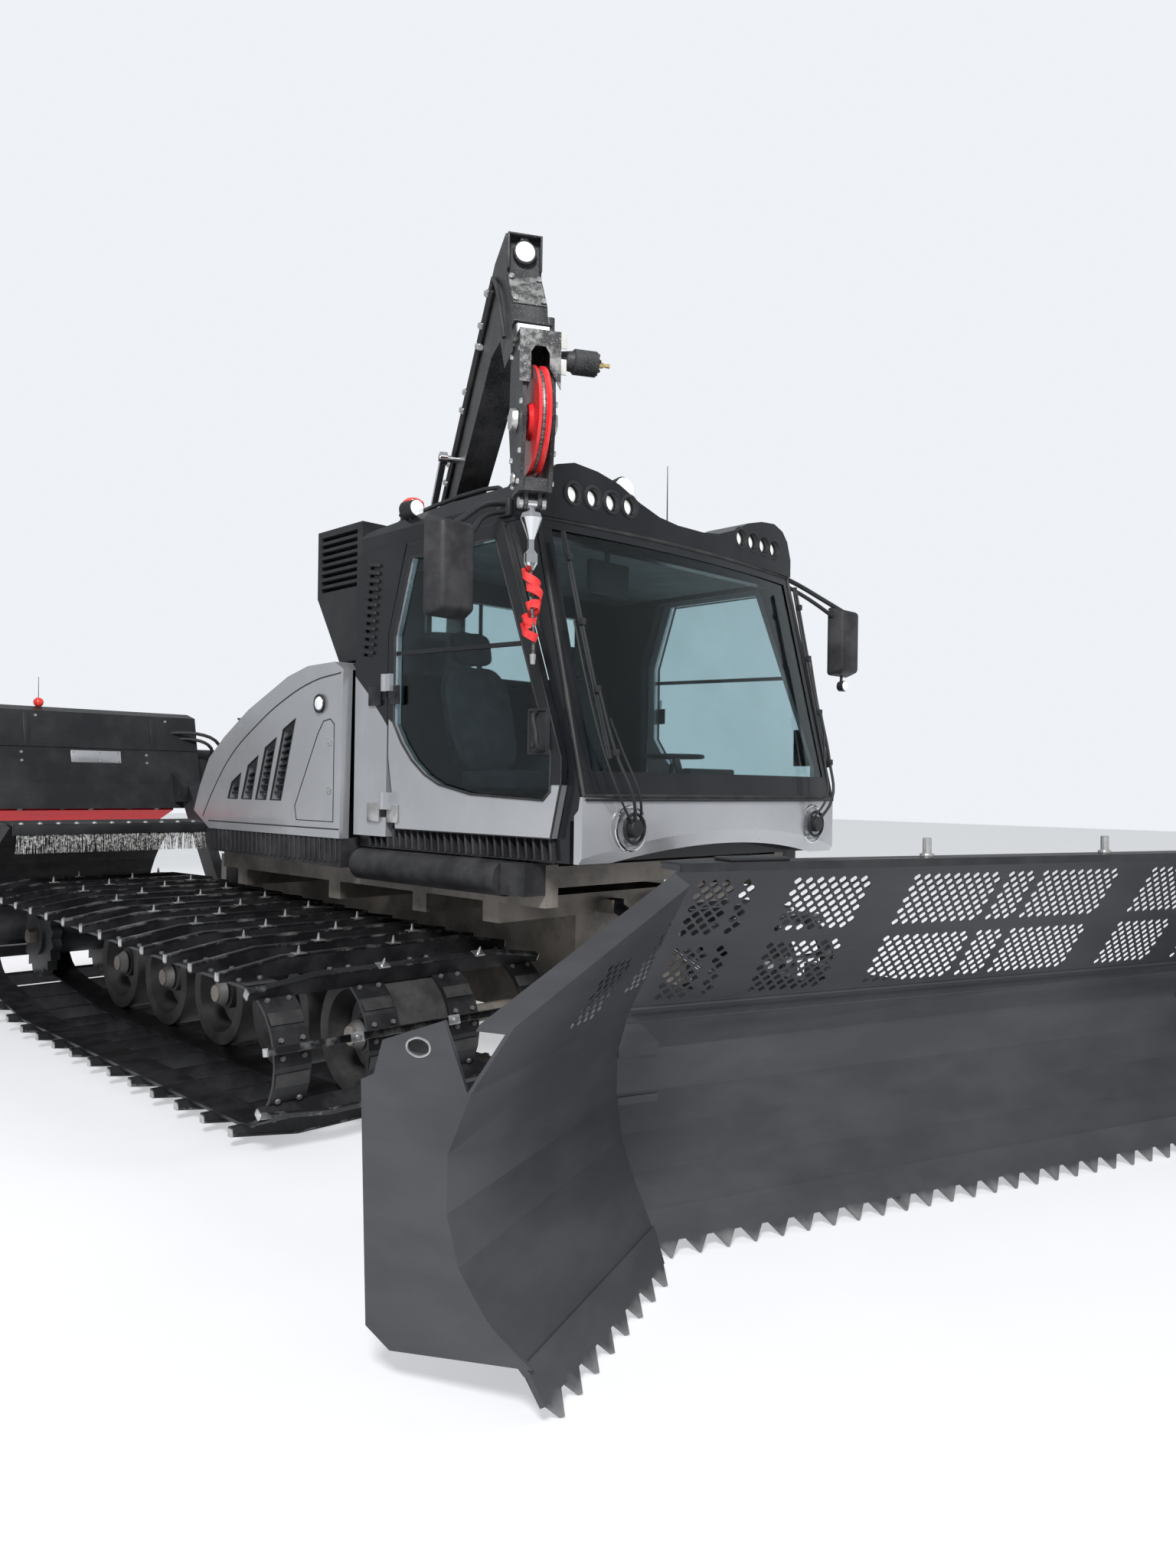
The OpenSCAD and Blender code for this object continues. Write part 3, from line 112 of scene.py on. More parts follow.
def linked(name, data):
    piece = bpy.data.objects.new(name, data)
    bpy.context.scene.collection.objects.link(piece)
    return piece


def meshed(name, points, faces):
    mesh = bpy.data.meshes.new(name)
    mesh.from_pydata(points, [], faces)
    return linked(name, mesh)


# %% Blocks, bars, rings and domes
def block(low, high, edge=0.004):
    clear()
    bpy.ops.mesh.primitive_cube_add(size=1)
    piece = bpy.context.object
    piece.location = [(a + b) / 2 for a, b in zip(low, high)]
    piece.scale = [b - a for a, b in zip(low, high)]
    return soften(settle(piece), edge)


def bar(a, b, r, r_end=None, sides=20, edge=0.0015):
    a, b = Vector(a), Vector(b)
    clear()
    bpy.ops.mesh.primitive_cone_add(vertices=sides, radius1=r, radius2=r if r_end is None else r_end,
                                    depth=(b - a).length)
    piece = bpy.context.object
    piece.rotation_mode = "QUATERNION"
    piece.rotation_quaternion = (b - a).to_track_quat("Z", "Y")
    piece.location = (a + b) / 2
    return soften(settle(piece), edge, 1)


def ring(centre, major, minor, axis="Z", sides=40):
    clear()
    bpy.ops.mesh.primitive_torus_add(major_radius=major, minor_radius=minor, major_segments=sides, minor_segments=8)
    piece = bpy.context.object
    piece.location = centre
    piece.rotation_euler = {"Z": (0, 0, 0), "X": (0, math.pi / 2, 0), "Y": (math.pi / 2, 0, 0)}[axis]
    return settle(piece)


def dome(radius, rings, centre=(0, 0, 0), depth=1.0):
    """A ball, or with a small depth a lens that is flat along Y."""
    clear()
    bpy.ops.mesh.primitive_uv_sphere_add(segments=24, ring_count=rings, radius=radius, location=centre)
    piece = bpy.context.object
    piece.scale = (1, depth, 1)
    return settle(piece)


# %% Plates and pipes
def plate(outline, x0, x1, edge=0.0):
    """A side outline of (y, z) points, extruded from x0 to x1."""
    piece = meshed("plate", [(x0, y, z) for y, z in outline], [range(len(outline))])
    edit_all(piece)
    bpy.ops.mesh.extrude_region_move(TRANSFORM_OT_translate={"value": (x1 - x0, 0, 0)})
    bpy.ops.mesh.select_all(action="SELECT")
    bpy.ops.mesh.normals_make_consistent(inside=False)
    bpy.ops.object.mode_set(mode="OBJECT")
    return soften(piece, edge, 1)


def pipe(points, r, sides=3, closed=False, bent="AUTO"):
    """A pipe or hose through the points, or a straight-sided line with bent="VECTOR"."""
    curve = bpy.data.curves.new("pipe", "CURVE")
    curve.dimensions, curve.bevel_depth, curve.bevel_resolution, curve.use_fill_caps = "3D", r, sides, True
    curve.resolution_u = 5 if bent == "AUTO" else 1
    line = curve.splines.new("BEZIER")
    line.bezier_points.add(len(points) - 1)
    line.use_cyclic_u = closed
    for knot, point in zip(line.bezier_points, points):
        knot.co, knot.handle_left_type, knot.handle_right_type = point, bent, bent
    only(linked("pipe", curve))
    bpy.ops.object.convert(target="MESH")
    return bpy.context.object


def side_line(x, points, r, sides=3, closed=False, bent="AUTO"):
    """A pipe along (y, z) points on the plane at x."""
    return pipe([(x, y, z) for y, z in points], r, sides, closed, bent)


def loop_line(x, points, r, sides=2):
    return side_line(x, points, r, sides, True, "VECTOR")


# %% Places, copies and joins
MIRROR = Matrix.Diagonal((-1, 1, 1, 1))
BOTH = (Matrix(), MIRROR)
SIDES = (("right", -1), ("left", 1))
FLIP = {-1: MIRROR, 1: Matrix()}


def move(x=0.0, y=0.0, z=0.0):
    return Matrix.Translation((x, y, z))


def spin(degrees, axis="Z"):
    return Matrix.Rotation(math.radians(degrees), 4, axis)


def on_both(places):
    return [m @ place for m in BOTH for place in places]


def repeated(seed, places):
    """One mesh with a copy of the seed at each matrix. The seed is used up."""
    points = np.array([v.co for v in seed.data.vertices])
    faces = [tuple(p.vertices) for p in seed.data.polygons]
    smooth = [p.use_smooth for p in seed.data.polygons]
    rows, sides = [], []
    for place in places:
        m = np.array(place)
        base = len(rows) * len(points)
        rows.append(points @ m[:3, :3].T + m[:3, 3])
        flip = np.linalg.det(m[:3, :3]) < 0
        sides += [tuple(base + i for i in (f[::-1] if flip else f)) for f in faces]
    piece = meshed("copies", np.concatenate(rows).tolist(), sides)
    piece.data.polygons.foreach_set("use_smooth", smooth * len(rows))
    bpy.data.objects.remove(seed)
    return piece


def joined(parts):
    only(parts[0])
    for part in parts:
        part.select_set(True)
    if len(parts) > 1:
        bpy.ops.object.join()
    return bpy.context.object


# %% [markdown]
# The last tool makes a finished piece out of its parts. It joins them, copies the whole to its places,
# turns it with its frame, and then gives it finish, smooth shading and body.


def dress(name, parts, look, body="machine", places=None, turned=None, angle=35):
    slot, finish = look
    piece = joined(parts if isinstance(parts, list) else [parts])
    if places:
        piece = repeated(piece, places)
    if turned is not None:
        piece.data.transform(turned)
        if turned.determinant() < 0:
            piece.data.flip_normals()
    piece.name = name
    piece.data.materials.clear()
    piece.data.materials.append(finish)
    only(piece)
    bpy.ops.object.shade_smooth_by_angle(angle=math.radians(angle))
    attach(piece, body)
    return piece


# %% [markdown]
# ## Finishes
# A finish on a working machine is never one flat colour. Each one here mixes two tones by a slow noise,
# varies its gloss with the same noise, and raises a grain by bump from a finer one. Numbers that are the same
# all over sit on the shader itself.

# %% Nodes
def give(node, **inputs):
    """Set a node's inputs by name, written with _ for each space."""
    for key, value in inputs.items():
        node.inputs[key.replace("_", " ")].default_value = value
    return node


def shader_of(finish):
    return finish.node_tree.nodes["Principled BSDF"]


def blended(tree, colour, mask, tone):
    """Lay a tone over the colour where the mask is white."""
    mix = tree.nodes.new("ShaderNodeMix")
    mix.data_type = "RGBA"
    give(mix, B=(*tone, 1))
    tree.links.new(mask, mix.inputs["Factor"])
    tree.links.new(colour, mix.inputs["A"])
    return mix.outputs["Result"]


# %% A worn finish
def worn(name, tone, second, rough, spread=0.12, metal=0.0, coat=0.0, patch=2.5, grain=180.0, bump=0.15,
         low=0.42, high=0.62, stretch=(1, 1, 1), specks=0.0, speck_tone=(0.5, 0.5, 0.48)):
    made = bpy.data.materials.new(name)
    made.use_nodes = True
    new, link = made.node_tree.nodes.new, made.node_tree.links.new
    shader = give(shader_of(made), Metallic=metal, Coat_Weight=coat, Coat_Roughness=0.08)
    place = new("ShaderNodeTexCoord").outputs["Object"]
    mapped = give(new("ShaderNodeMapping"), Scale=stretch)
    slow = give(new("ShaderNodeTexNoise"), Scale=patch, Detail=8, Roughness=0.65)
    fine = give(new("ShaderNodeTexNoise"), Scale=grain, Detail=2)
    ramp = new("ShaderNodeValToRGB")
    for stop, at, shade in zip(ramp.color_ramp.elements, (low, high), (tone, second)):
        stop.position, stop.color = at, (*shade, 1)
    link(place, mapped.inputs["Vector"])
    link(mapped.outputs["Vector"], slow.inputs["Vector"])
    link(place, fine.inputs["Vector"])
    link(slow.outputs["Fac"], ramp.inputs["Fac"])
    colour = ramp.outputs["Color"]
    if specks:
        dust = give(new("ShaderNodeTexNoise"), Scale=170, Detail=2)
        mask = give(new("ShaderNodeMapRange"), From_Min=0.66 - 0.1 * specks, From_Max=0.7)
        link(place, dust.inputs["Vector"])
        link(dust.outputs["Fac"], mask.inputs["Value"])
        colour = blended(made.node_tree, colour, mask.outputs["Result"], speck_tone)
    link(colour, shader.inputs["Base Color"])
    gloss = give(new("ShaderNodeMapRange"), To_Min=max(0.02, rough - spread), To_Max=min(1, rough + spread))
    link(slow.outputs["Fac"], gloss.inputs["Value"])
    link(gloss.outputs["Result"], shader.inputs["Roughness"])
    relief = give(new("ShaderNodeBump"), Strength=bump, Distance=0.001)
    link(fine.outputs["Fac"], relief.inputs["Height"])
    link(relief.outputs["Normal"], shader.inputs["Normal"])
    return made


# %% Another tone low down
def darker_below(made, z0, z1, tone):
    """Blend another tone in below z0, fully from z1 down, as where paint has worn off or dirt has gathered."""
    RAGGED = 0.08
    new, link = made.node_tree.nodes.new, made.node_tree.links.new
    base = shader_of(made).inputs["Base Color"]
    place = new("ShaderNodeTexCoord").outputs["Object"]
    split = new("ShaderNodeSeparateXYZ")
    noise = give(new("ShaderNodeTexNoise"), Scale=14, Detail=6)
    shift = new("ShaderNodeMath")
    shift.operation = "MULTIPLY_ADD"
    shift.inputs[1].default_value = RAGGED
    mask = give(new("ShaderNodeMapRange"), From_Min=z0 + RAGGED / 2, From_Max=z1 + RAGGED / 2)
    link(place, split.inputs["Vector"])
    link(place, noise.inputs["Vector"])
    link(noise.outputs["Fac"], shift.inputs[0])
    link(split.outputs["Z"], shift.inputs[2])
    link(shift.outputs["Value"], mask.inputs["Value"])
    link(blended(made.node_tree, base.links[0].from_socket, mask.outputs["Result"], tone), base)
    return made


# %% Paints and metals
black_paint = worn("black_powder_coat", (0.016, 0.017, 0.019), (0.03, 0.031, 0.033), 0.42, bump=0.25, grain=500)
black_gloss = worn("black_gloss_panel", (0.007, 0.008, 0.010), (0.012, 0.013, 0.015), 0.30, 0.05, coat=0.25, bump=0.03)
boom_paint = worn("boom_paint_worn", (0.018, 0.019, 0.021), (0.05, 0.05, 0.052), 0.45, patch=5, specks=0.35,
                  speck_tone=(0.16, 0.16, 0.155))
frame_paint = worn("frame_paint_worn", (0.13, 0.118, 0.105), (0.27, 0.24, 0.21), 0.38, 0.14, metal=0.35, patch=3,
                   low=0.38, high=0.6)
blade_steel = worn("blade_anthracite", (0.042, 0.043, 0.048), (0.056, 0.058, 0.064), 0.42, 0.07, metal=0.3,
                   patch=1.6, grain=350, bump=0.12, stretch=(1, 1, 3))
darker_below(blade_steel, 0.05, 0.0, (0.20, 0.20, 0.20))
edge_steel = worn("bright_worn_steel", (0.38, 0.38, 0.38), (0.62, 0.62, 0.61), 0.3, metal=0.9, patch=9, bump=0.2)
silver_paint = worn("silver_paint", (0.44, 0.45, 0.47), (0.50, 0.51, 0.53), 0.26, 0.05, metal=0.6, coat=0.6,
                    patch=1.2, grain=900, bump=0.04)
track_black = worn("track_bar_black", (0.009, 0.009, 0.010), (0.022, 0.022, 0.024), 0.36, 0.12, patch=6, bump=0.2)
chrome = worn("chrome", (0.68, 0.69, 0.70), (0.78, 0.79, 0.80), 0.1, 0.05, metal=1.0, bump=0.01)
zinc = worn("zinc_plated", (0.46, 0.46, 0.45), (0.60, 0.60, 0.59), 0.3, 0.08, metal=0.85, patch=12, bump=0.1)
cast_iron = worn("cast_iron", (0.09, 0.09, 0.095), (0.14, 0.135, 0.13), 0.6, patch=5, grain=150, bump=0.5, metal=0.3)
red_paint = worn("red_sheave_paint", (0.62, 0.02, 0.025), (0.74, 0.05, 0.05), 0.3, 0.08, coat=0.3, patch=6, bump=0.05)
chipped = worn("chipped_head_plate", (0.05, 0.05, 0.052), (0.26, 0.26, 0.255), 0.4, metal=0.4, patch=14,
               low=0.46, high=0.60, bump=0.5, specks=0.6, speck_tone=(0.4, 0.4, 0.39))
rope_steel = worn("oiled_wire_rope", (0.06, 0.06, 0.058), (0.24, 0.235, 0.22), 0.42, metal=0.6, patch=40,
                  stretch=(1, 1, 4), grain=900, bump=0.4)
white_plate = worn("white_plate", (0.46, 0.46, 0.43), (0.58, 0.58, 0.55), 0.4, patch=10, bump=0.1)
brass = worn("brass_fitting", (0.62, 0.47, 0.22), (0.74, 0.58, 0.30), 0.3, metal=0.9, patch=10, bump=0.05)

# %% Plastics, rubbers, lenses and cloth
belt_rubber = worn("belt_rubber", (0.014, 0.014, 0.015), (0.032, 0.031, 0.03), 0.62, patch=8, grain=90, bump=0.35)
tyre_rubber = worn("wheel_rubber", (0.014, 0.014, 0.015), (0.035, 0.034, 0.033), 0.66, patch=7, grain=120, bump=0.3)
black_plastic = worn("grained_black_plastic", (0.017, 0.018, 0.02), (0.026, 0.027, 0.029), 0.52, 0.08, grain=700,
                     bump=0.4)
skirt_plastic = worn("scuffed_black_plastic", (0.018, 0.018, 0.02), (0.04, 0.04, 0.042), 0.55, patch=5, grain=420,
                     bump=0.4)
comb_red = worn("red_comb_plastic", (0.56, 0.002, 0.008), (0.68, 0.006, 0.014), 0.62, patch=4, bump=0.2)
bristle = worn("dark_bristle", (0.04, 0.04, 0.04), (0.55, 0.55, 0.53), 0.6, patch=60, low=0.44, high=0.56, bump=0.1)
white_lens = worn("white_lens", (0.80, 0.83, 0.84), (0.90, 0.92, 0.93), 0.12, 0.05, coat=0.4, patch=30, grain=260,
                  bump=0.25)
red_lens = worn("red_lens", (0.72, 0.03, 0.02), (0.85, 0.06, 0.03), 0.14, 0.05, coat=0.5, patch=20, grain=200,
                bump=0.15)
lens_painted_glint = worn("lens_painted_glint", (0.86, 0.88, 0.88), (0.95, 0.96, 0.96), 0.12, 0.05, coat=0.4, patch=30, grain=260,
                bump=0.25)
# The emission is a painted highlight: the lens glows as if it caught the sun, though the lamp is not lit.
give(shader_of(lens_painted_glint), Emission_Color=(1.0, 0.98, 0.94, 1), Emission_Strength=0.45)
headliner_cloth = worn("grey_headliner", (0.20, 0.21, 0.22), (0.27, 0.28, 0.29), 0.85, patch=3, grain=500, bump=0.4)
seat_cloth = worn("woven_seat_cloth", (0.022, 0.023, 0.027), (0.04, 0.042, 0.048), 0.8, patch=9, grain=850, bump=0.8)
for made in (comb_red, black_paint, black_gloss, boom_paint, black_plastic, skirt_plastic, track_black):
    give(shader_of(made), Specular_IOR_Level=0.28)
print(len(bpy.data.materials), "finishes")


# %% Tinted glass
def tinted(name, tint):
    made = worn(name, tint, tuple(t * 0.93 for t in tint), 0.02, 0.02, patch=0.8, bump=0.0)
    give(shader_of(made), Transmission_Weight=1.0, IOR=1.25)
    return made


glass = tinted("tinted_glass", (0.66, 0.78, 0.79))
door_tint = tinted("tinted_door_glass", (0.52, 0.64, 0.67))

# %% [markdown]
# A look is a slot with its finish. The ones that many pieces share have a name of their own.

# %% Looks
TRIM, SCUFFED, RUBBER = ("trim", black_plastic), ("trim", skirt_plastic), ("rubber", belt_rubber)
DARK, GLOSSY, SILVER = ("black_paint", black_paint), ("black_paint", black_gloss), ("silver_paint", silver_paint)
PLATED, MIRRORED, WHITE = ("chrome", zinc), ("chrome", chrome), ("silver_paint", white_plate)
BRIGHT, BLADE_COAT, CAST = ("steel", edge_steel), ("steel", blade_steel), ("steel", cast_iron)
# The second lamp look is a lens that glows with a painted highlight.
LAMP, PAINTED_GLINT, ROPE = ("lamp", white_lens), ("lamp", lens_painted_glint), ("rope", rope_steel)

# %% [markdown]
# ## Finishes on the solids
# Most solids already have the right shape, so they only get a finish.

# %% Finish the solids
solid_finish = {
    frame_paint: "chassis_frame",
    black_paint: "push_frame blade_carrier lift_barrels angle_barrel_right angle_barrel_left wing_barrel_right "
                 "wing_barrel_left boom_barrel tiller_arms tiller_barrels tiller_body winch_base sprockets",
    boom_paint: "boom boom_turret",
    black_gloss: "cab_shell roof",
    black_plastic: "dashboard deck intake_box mirrors",
    skirt_plastic: "skirts mudguards",
    tyre_rubber: "wheels",
    track_black: "track_right track_left",
    cast_iron: "engine_block tiller_drum",
    silver_paint: "nose quarter_panels rear_body door_right door_left",
    glass: "cab_glass",
    door_tint: "door_glass_right door_glass_left",
    chrome: "lift_rods angle_rod_right angle_rod_left wing_rod_right wing_rod_left boom_rod tiller_rods rope_end",
    blade_steel: "blade_main wing_right wing_left",
    red_paint: "sheave",
    comb_red: "tiller_comb",
    white_lens: "lamps",
    seat_cloth: "seats",
    rope_steel: "rope_tail",
}
finished = set()
for finish, names in solid_finish.items():
    for name in names.split():
        NODES[name].data.materials.clear()
        NODES[name].data.materials.append(finish)
        finished.add(name)
print("solids without a finish:", sorted(set(NODES) - finished))

# %% [markdown]
# ## The winch rope's end
# Below its cone the steel rope hangs free. A rope is one open curve along the points that the solid follows,
# with a pressed ferrule on its end. The boom is turned 28.5 degrees about its turret, so its fittings are made
# in the turret's own frame and then turned with it.

# %% The turret's frame and the rope
TURRET_Y, SLEW = 0.770, 28.5
TURRET = move(0, TURRET_Y, 0) @ spin(-SLEW)
rope_run = [(0, -2650, 2470), (0, -2650, 2430), (1, -2651, 2390), (3, -2652, 2350), (6, -2654, 2310), (9, -2656, 2270),
            (12, -2657, 2230), (14, -2657, 2190), (15, -2656, 2150), (15, -2654, 2110), (14, -2652, 2070)]
rope_line = [TURRET @ (Vector(p) / 1000) for p in rope_run]
curve = bpy.data.curves.new("rope_tail_strand", "CURVE")
curve.dimensions, curve.bevel_depth, curve.bevel_resolution, curve.use_fill_caps = "3D", 0.007, 3, True
strand = curve.splines.new("POLY")
strand.points.add(len(rope_line) - 1)
for knot, p in zip(strand.points, rope_line):
    knot.co = (*p, 1)
curve.materials.append(rope_steel)
rope_tail = linked("rope_tail_strand", curve)
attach(rope_tail, "rope_end")
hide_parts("rope_tail")
over_end = [rope_line[-1] + Vector((0, 0, z)) for z in (0.045, 0.0005)]
ferrule = dress("rope_ferrule", bar(*over_end, 0.0135, 0.010, edge=0.002), PLATED, "rope_end")

# %% [markdown]
# A red ribbon is knotted round the rope, so that the driver sees where it hangs. It is one strip of cloth
# that winds down the rope, with its edges turned this way and that.

# %% The red ribbon
STEPS, TURNS, cut = 120, 5.2, 0.036
ribbon_cloth = worn("red_ribbon_cloth", (0.66, 0.02, 0.025), (0.82, 0.06, 0.05), 0.62, patch=18, grain=900, bump=0.5)
rows = []
for i in range(STEPS + 1):
    t = i / STEPS
    a = t * TURNS * 2 * math.pi
    swell = 0.012 + 0.034 * abs(math.sin(t * 13.0)) ** 1.5
    wind = Vector((swell * math.cos(a), swell * math.sin(a), 0.02 * math.sin(t * 26)))
    at = rope_line[0].lerp(rope_line[-1], 0.02 + 0.72 * t) + wind
    lean = Vector((0.35 * math.cos(a + 0.8), 0.35 * math.sin(a + 0.8), 0.94)).normalized() * cut / 2
    rows += [at - lean, at, at + lean]
ribbon = meshed("red_ribbon", rows, [(3 * i + k, 3 * i + k + 1, 3 * i + k + 4, 3 * i + k + 3)
                                     for i in range(STEPS) for k in (0, 1)])
dress("red_ribbon", ribbon, ("red_paint", ribbon_cloth), "rope_end", angle=60)

# %% [markdown]
# ## Tracks
# Each track is a set of belts with steel bars across them. A bar is black with a bright edge, where it grinds on
# rock and ice, and has a cap of bare metal at each end. The run of the belt is worked out once,
# so that the edges, caps, studs and bolts sit on the solid bars.

# %% The belt's run
HALF, INNER, BELT_R, BAR_N = 2.150, 0.520, 0.300, 34
TRACK_MID, BAR_H = (HALF + INNER) / 2, 0.085
AXLE_Z, FRONT_Y, REAR_Y = BAR_H + BELT_R, -0.670, 2.020
CENTRES = [Vector((FRONT_Y, AXLE_Z)), Vector((REAR_Y, AXLE_Z)), Vector((2.820, AXLE_Z + 0.110))]
RUNS = [CENTRES[(i + 1) % 3] - CENTRES[i] for i in range(3)]
OUTWARD = [math.atan2(-r.x, r.y) for r in RUNS]
LOOP = sum(r.length for r in RUNS) + 2 * math.pi * BELT_R


def on_belt(s):
    """Place (y, z) and outward angle at distance s along the outside of the belt."""
    i = 0
    while True:
        before = OUTWARD[(i + 2) % 3]
        arc = BELT_R * ((OUTWARD[i % 3] - before) % (2 * math.pi))
        c, r = CENTRES[i % 3], RUNS[i % 3]
        if s <= arc:
            a = before + s / BELT_R
            return c + BELT_R * Vector((math.cos(a), math.sin(a))), a
        if s <= arc + r.length:
            a = OUTWARD[i % 3]
            return c + BELT_R * Vector((math.cos(a), math.sin(a))) + (s - arc) * r.normalized(), a
        s, i = s - arc - r.length, i + 1


def at_bar(k, x, shift=0.0):
    """Matrix at bar k: local Z points out of the belt and local Y back along it."""
    p, a = on_belt(((k + 0.5) * LOOP / BAR_N + shift) % LOOP)
    return move(x, p.x, p.y) @ Matrix.Rotation(a - math.pi / 2, 4, "X")


print("belt loop", round(LOOP, 3), "m,", BAR_N, "bars a track")

# %% Bright edges and end caps of the bars
reach = (HALF - INNER) / 2


def bar_ridge(end, crown):
    return [(-reach, end), (-reach * 0.62, crown), (reach * 0.62, crown), (reach, end)]


ridge = bar_ridge(BAR_H * 0.42, BAR_H) + bar_ridge(BAR_H * 0.42 - 0.016, BAR_H - 0.014)[::-1]
bar_wear = worn("bar_edge_wear", (0.022, 0.022, 0.024), (0.26, 0.26, 0.255), 0.34, metal=0.6, patch=9, low=0.50,
                high=0.68, bump=0.2)
for side, s in SIDES:
    bars = [at_bar(k, s * TRACK_MID) for k in range(BAR_N)]
    seed = plate(ridge, -0.0165, 0.0165)
    seed.data.transform(spin(-90))
    dress("bar_edges_" + side, soften(seed, 0.003, 1), ("steel", bar_wear), places=bars, angle=30)
    cap = block((reach - 0.006, -0.018, 0.0), (reach + 0.002, 0.018, BAR_H * 0.44), 0.003)
    dress("bar_caps_" + side, cap, BRIGHT, places=[place @ m for place in bars for m in BOTH])

# %% [markdown]
# Cone studs stand on small cross plates, two to a bar and staggered from bar to bar, and only above the ground run.
# Pairs of bolts hold each bar to its belts.

# %% Studs and bolts on the bars
BELT_MIDS = [INNER + 0.085 + 0.05 + (HALF - INNER - 0.17 - 0.1) * i / 3 for i in range(4)]
STUD_ROWS, LOWEST_STUD = ((-0.16, 0.40), (-0.42, 0.10)), 0.3
for side, s in SIDES:
    stud = [bar((0, 0, BAR_H - 0.004), (0, 0, BAR_H + 0.036), 0.011, 0.003, 10, 0),
            block((-0.032, -0.022, BAR_H - 0.006), (0.032, 0.022, BAR_H + 0.002), 0.002)]
    places = [at_bar(k, s * TRACK_MID + dx) for k in range(BAR_N) for dx in STUD_ROWS[k % 2]
              if LOWEST_STUD < on_belt((k + 0.5) * LOOP / BAR_N)[0].y]
    dress("track_studs_" + side, stud, BRIGHT, places=places)
    places = [at_bar(k, s * m + dx, dy) for k in range(BAR_N) for m in BELT_MIDS
              for dx in (-0.05, 0.05) for dy in (-0.036, 0.036)]
    dress("belt_bolts_" + side, bar((0, 0, 0), (0, 0, 0.010), 0.013, 0.011, 6, 0), CAST, places=places)

# %% [markdown]
# The belts are rubber and the bars are painted steel, but one solid holds both. A thin rubber face on each belt,
# half way between two bars, shows the change of material.

# %% Belt faces
for side, s in SIDES:
    places = [at_bar(k + 0.5, s * m) for k in range(BAR_N) for m in BELT_MIDS]
    dress("belt_faces_" + side, block((-0.078, -0.030, 0), (0.078, 0.030, 0.0025), 0.002), RUBBER, places=places)

# %% [markdown]
# ## Road wheels
# Each wheel gets a pressed disc with a hub cap and eight nuts, seen from outside between the bars.

# %% Wheel hubs
wheel_ys = [FRONT_Y + (REAR_Y - FRONT_Y) * i / 4 for i in range(5)]
cap = bar((0.170, 0, 0), (0.212, 0, 0), 0.075, 0.05, 28, 0.006)
nuts = repeated(bar((0.085, 0.064, 0), (0.108, 0.064, 0), 0.012, sides=6, edge=0),
                [spin(45 * i, "X") for i in range(8)])
disc = bar((0.078, 0, 0), (0.088, 0, 0), 0.195, sides=36, edge=0.004)
dress("wheel_hubs", [cap, nuts, disc], ("wheel_black", cast_iron),
      places=on_both([move(TRACK_MID, y, AXLE_Z) for y in wheel_ys]))

# %% [markdown]
# ## Blade
# The upper part of the blade is a guard of perforated sheet: rounded diamonds in groups, in two rows, that let the
# driver see the snow in front. The holes are real: the solid is copied, its loose triangles are merged,
# and a mesh of joined diamonds is cut out of the copy. The copy then stands for the solid.

# %% The blade's frame and the diamonds
PIVOT_Y, BLADE_TURN = -2.666, 19.3
BLADE = move(0, PIVOT_Y, 0) @ spin(-BLADE_TURN)
HINGE_X, HINGE_Y, WING_TURN = 1.560, -0.190, 41
FOLD = {s: BLADE @ move(s * HINGE_X, HINGE_Y) @ spin(-s * WING_TURN) @ move(-s * HINGE_X, -HINGE_Y) for s in (-1, 1)}
PITCH = 0.048
LIFT = PITCH * 0.55
FOOT, SLOPE = Vector((0, -0.294, 0.780)), Vector((0, -0.350, 0.530))
UP = SLOPE.normalized()


def guard_place(x, climb):
    """Matrix on the guard sheet at x along it and climb metres up it: local Z goes through the sheet."""
    along = Vector((1, 0, 0))
    turned = Matrix((along, UP, along.cross(UP))).transposed().to_4x4()
    return move(*(FOOT + x * along + UP * climb)) @ turned


def hole_group(x, columns, climb, rows):
    return [guard_place(x + (c + 0.5 * (r % 2)) * PITCH, climb + r * LIFT) for r in range(rows) for c in range(columns)]


def diamonds(places):
    clear()
    bpy.ops.mesh.primitive_cylinder_add(vertices=4, radius=0.0192, depth=0.07)
    seed = settle(bpy.context.object)
    edit_all(seed)
    bpy.ops.mesh.select_all(action="DESELECT")
    bpy.ops.object.mode_set(mode="OBJECT")
    for edge in seed.data.edges:
        a, b = (seed.data.vertices[i].co for i in edge.vertices)
        edge.select = abs(a.z - b.z) > 0.01
    bpy.ops.object.mode_set(mode="EDIT")
    bpy.ops.mesh.bevel(offset=0.005, segments=1)
    bpy.ops.object.mode_set(mode="OBJECT")
    return repeated(seed, places)


print("guard sheet leans", round(math.degrees(math.atan2(-SLOPE.y, SLOPE.z)), 1), "degrees forwards")


# %% Cut the guard
def cut_out(copy, cutter):
    changed(copy, "BOOLEAN", operation="DIFFERENCE", object=cutter, solver="EXACT")
    bpy.data.objects.remove(cutter)


def pockets(groups, turned):
    """Blocks behind the groups (x, columns, climb, rows), which leave the sheet 5 mm thick there."""
    whole = joined([block((x - 0.024, climb - 0.026, -0.03),
                          (x + n * PITCH + 0.004, climb + (rows - 1) * LIFT + 0.026, -0.0005), 0)
                    for x, n, climb, rows in groups])
    whole.data.transform(turned @ guard_place(0, 0))
    return whole


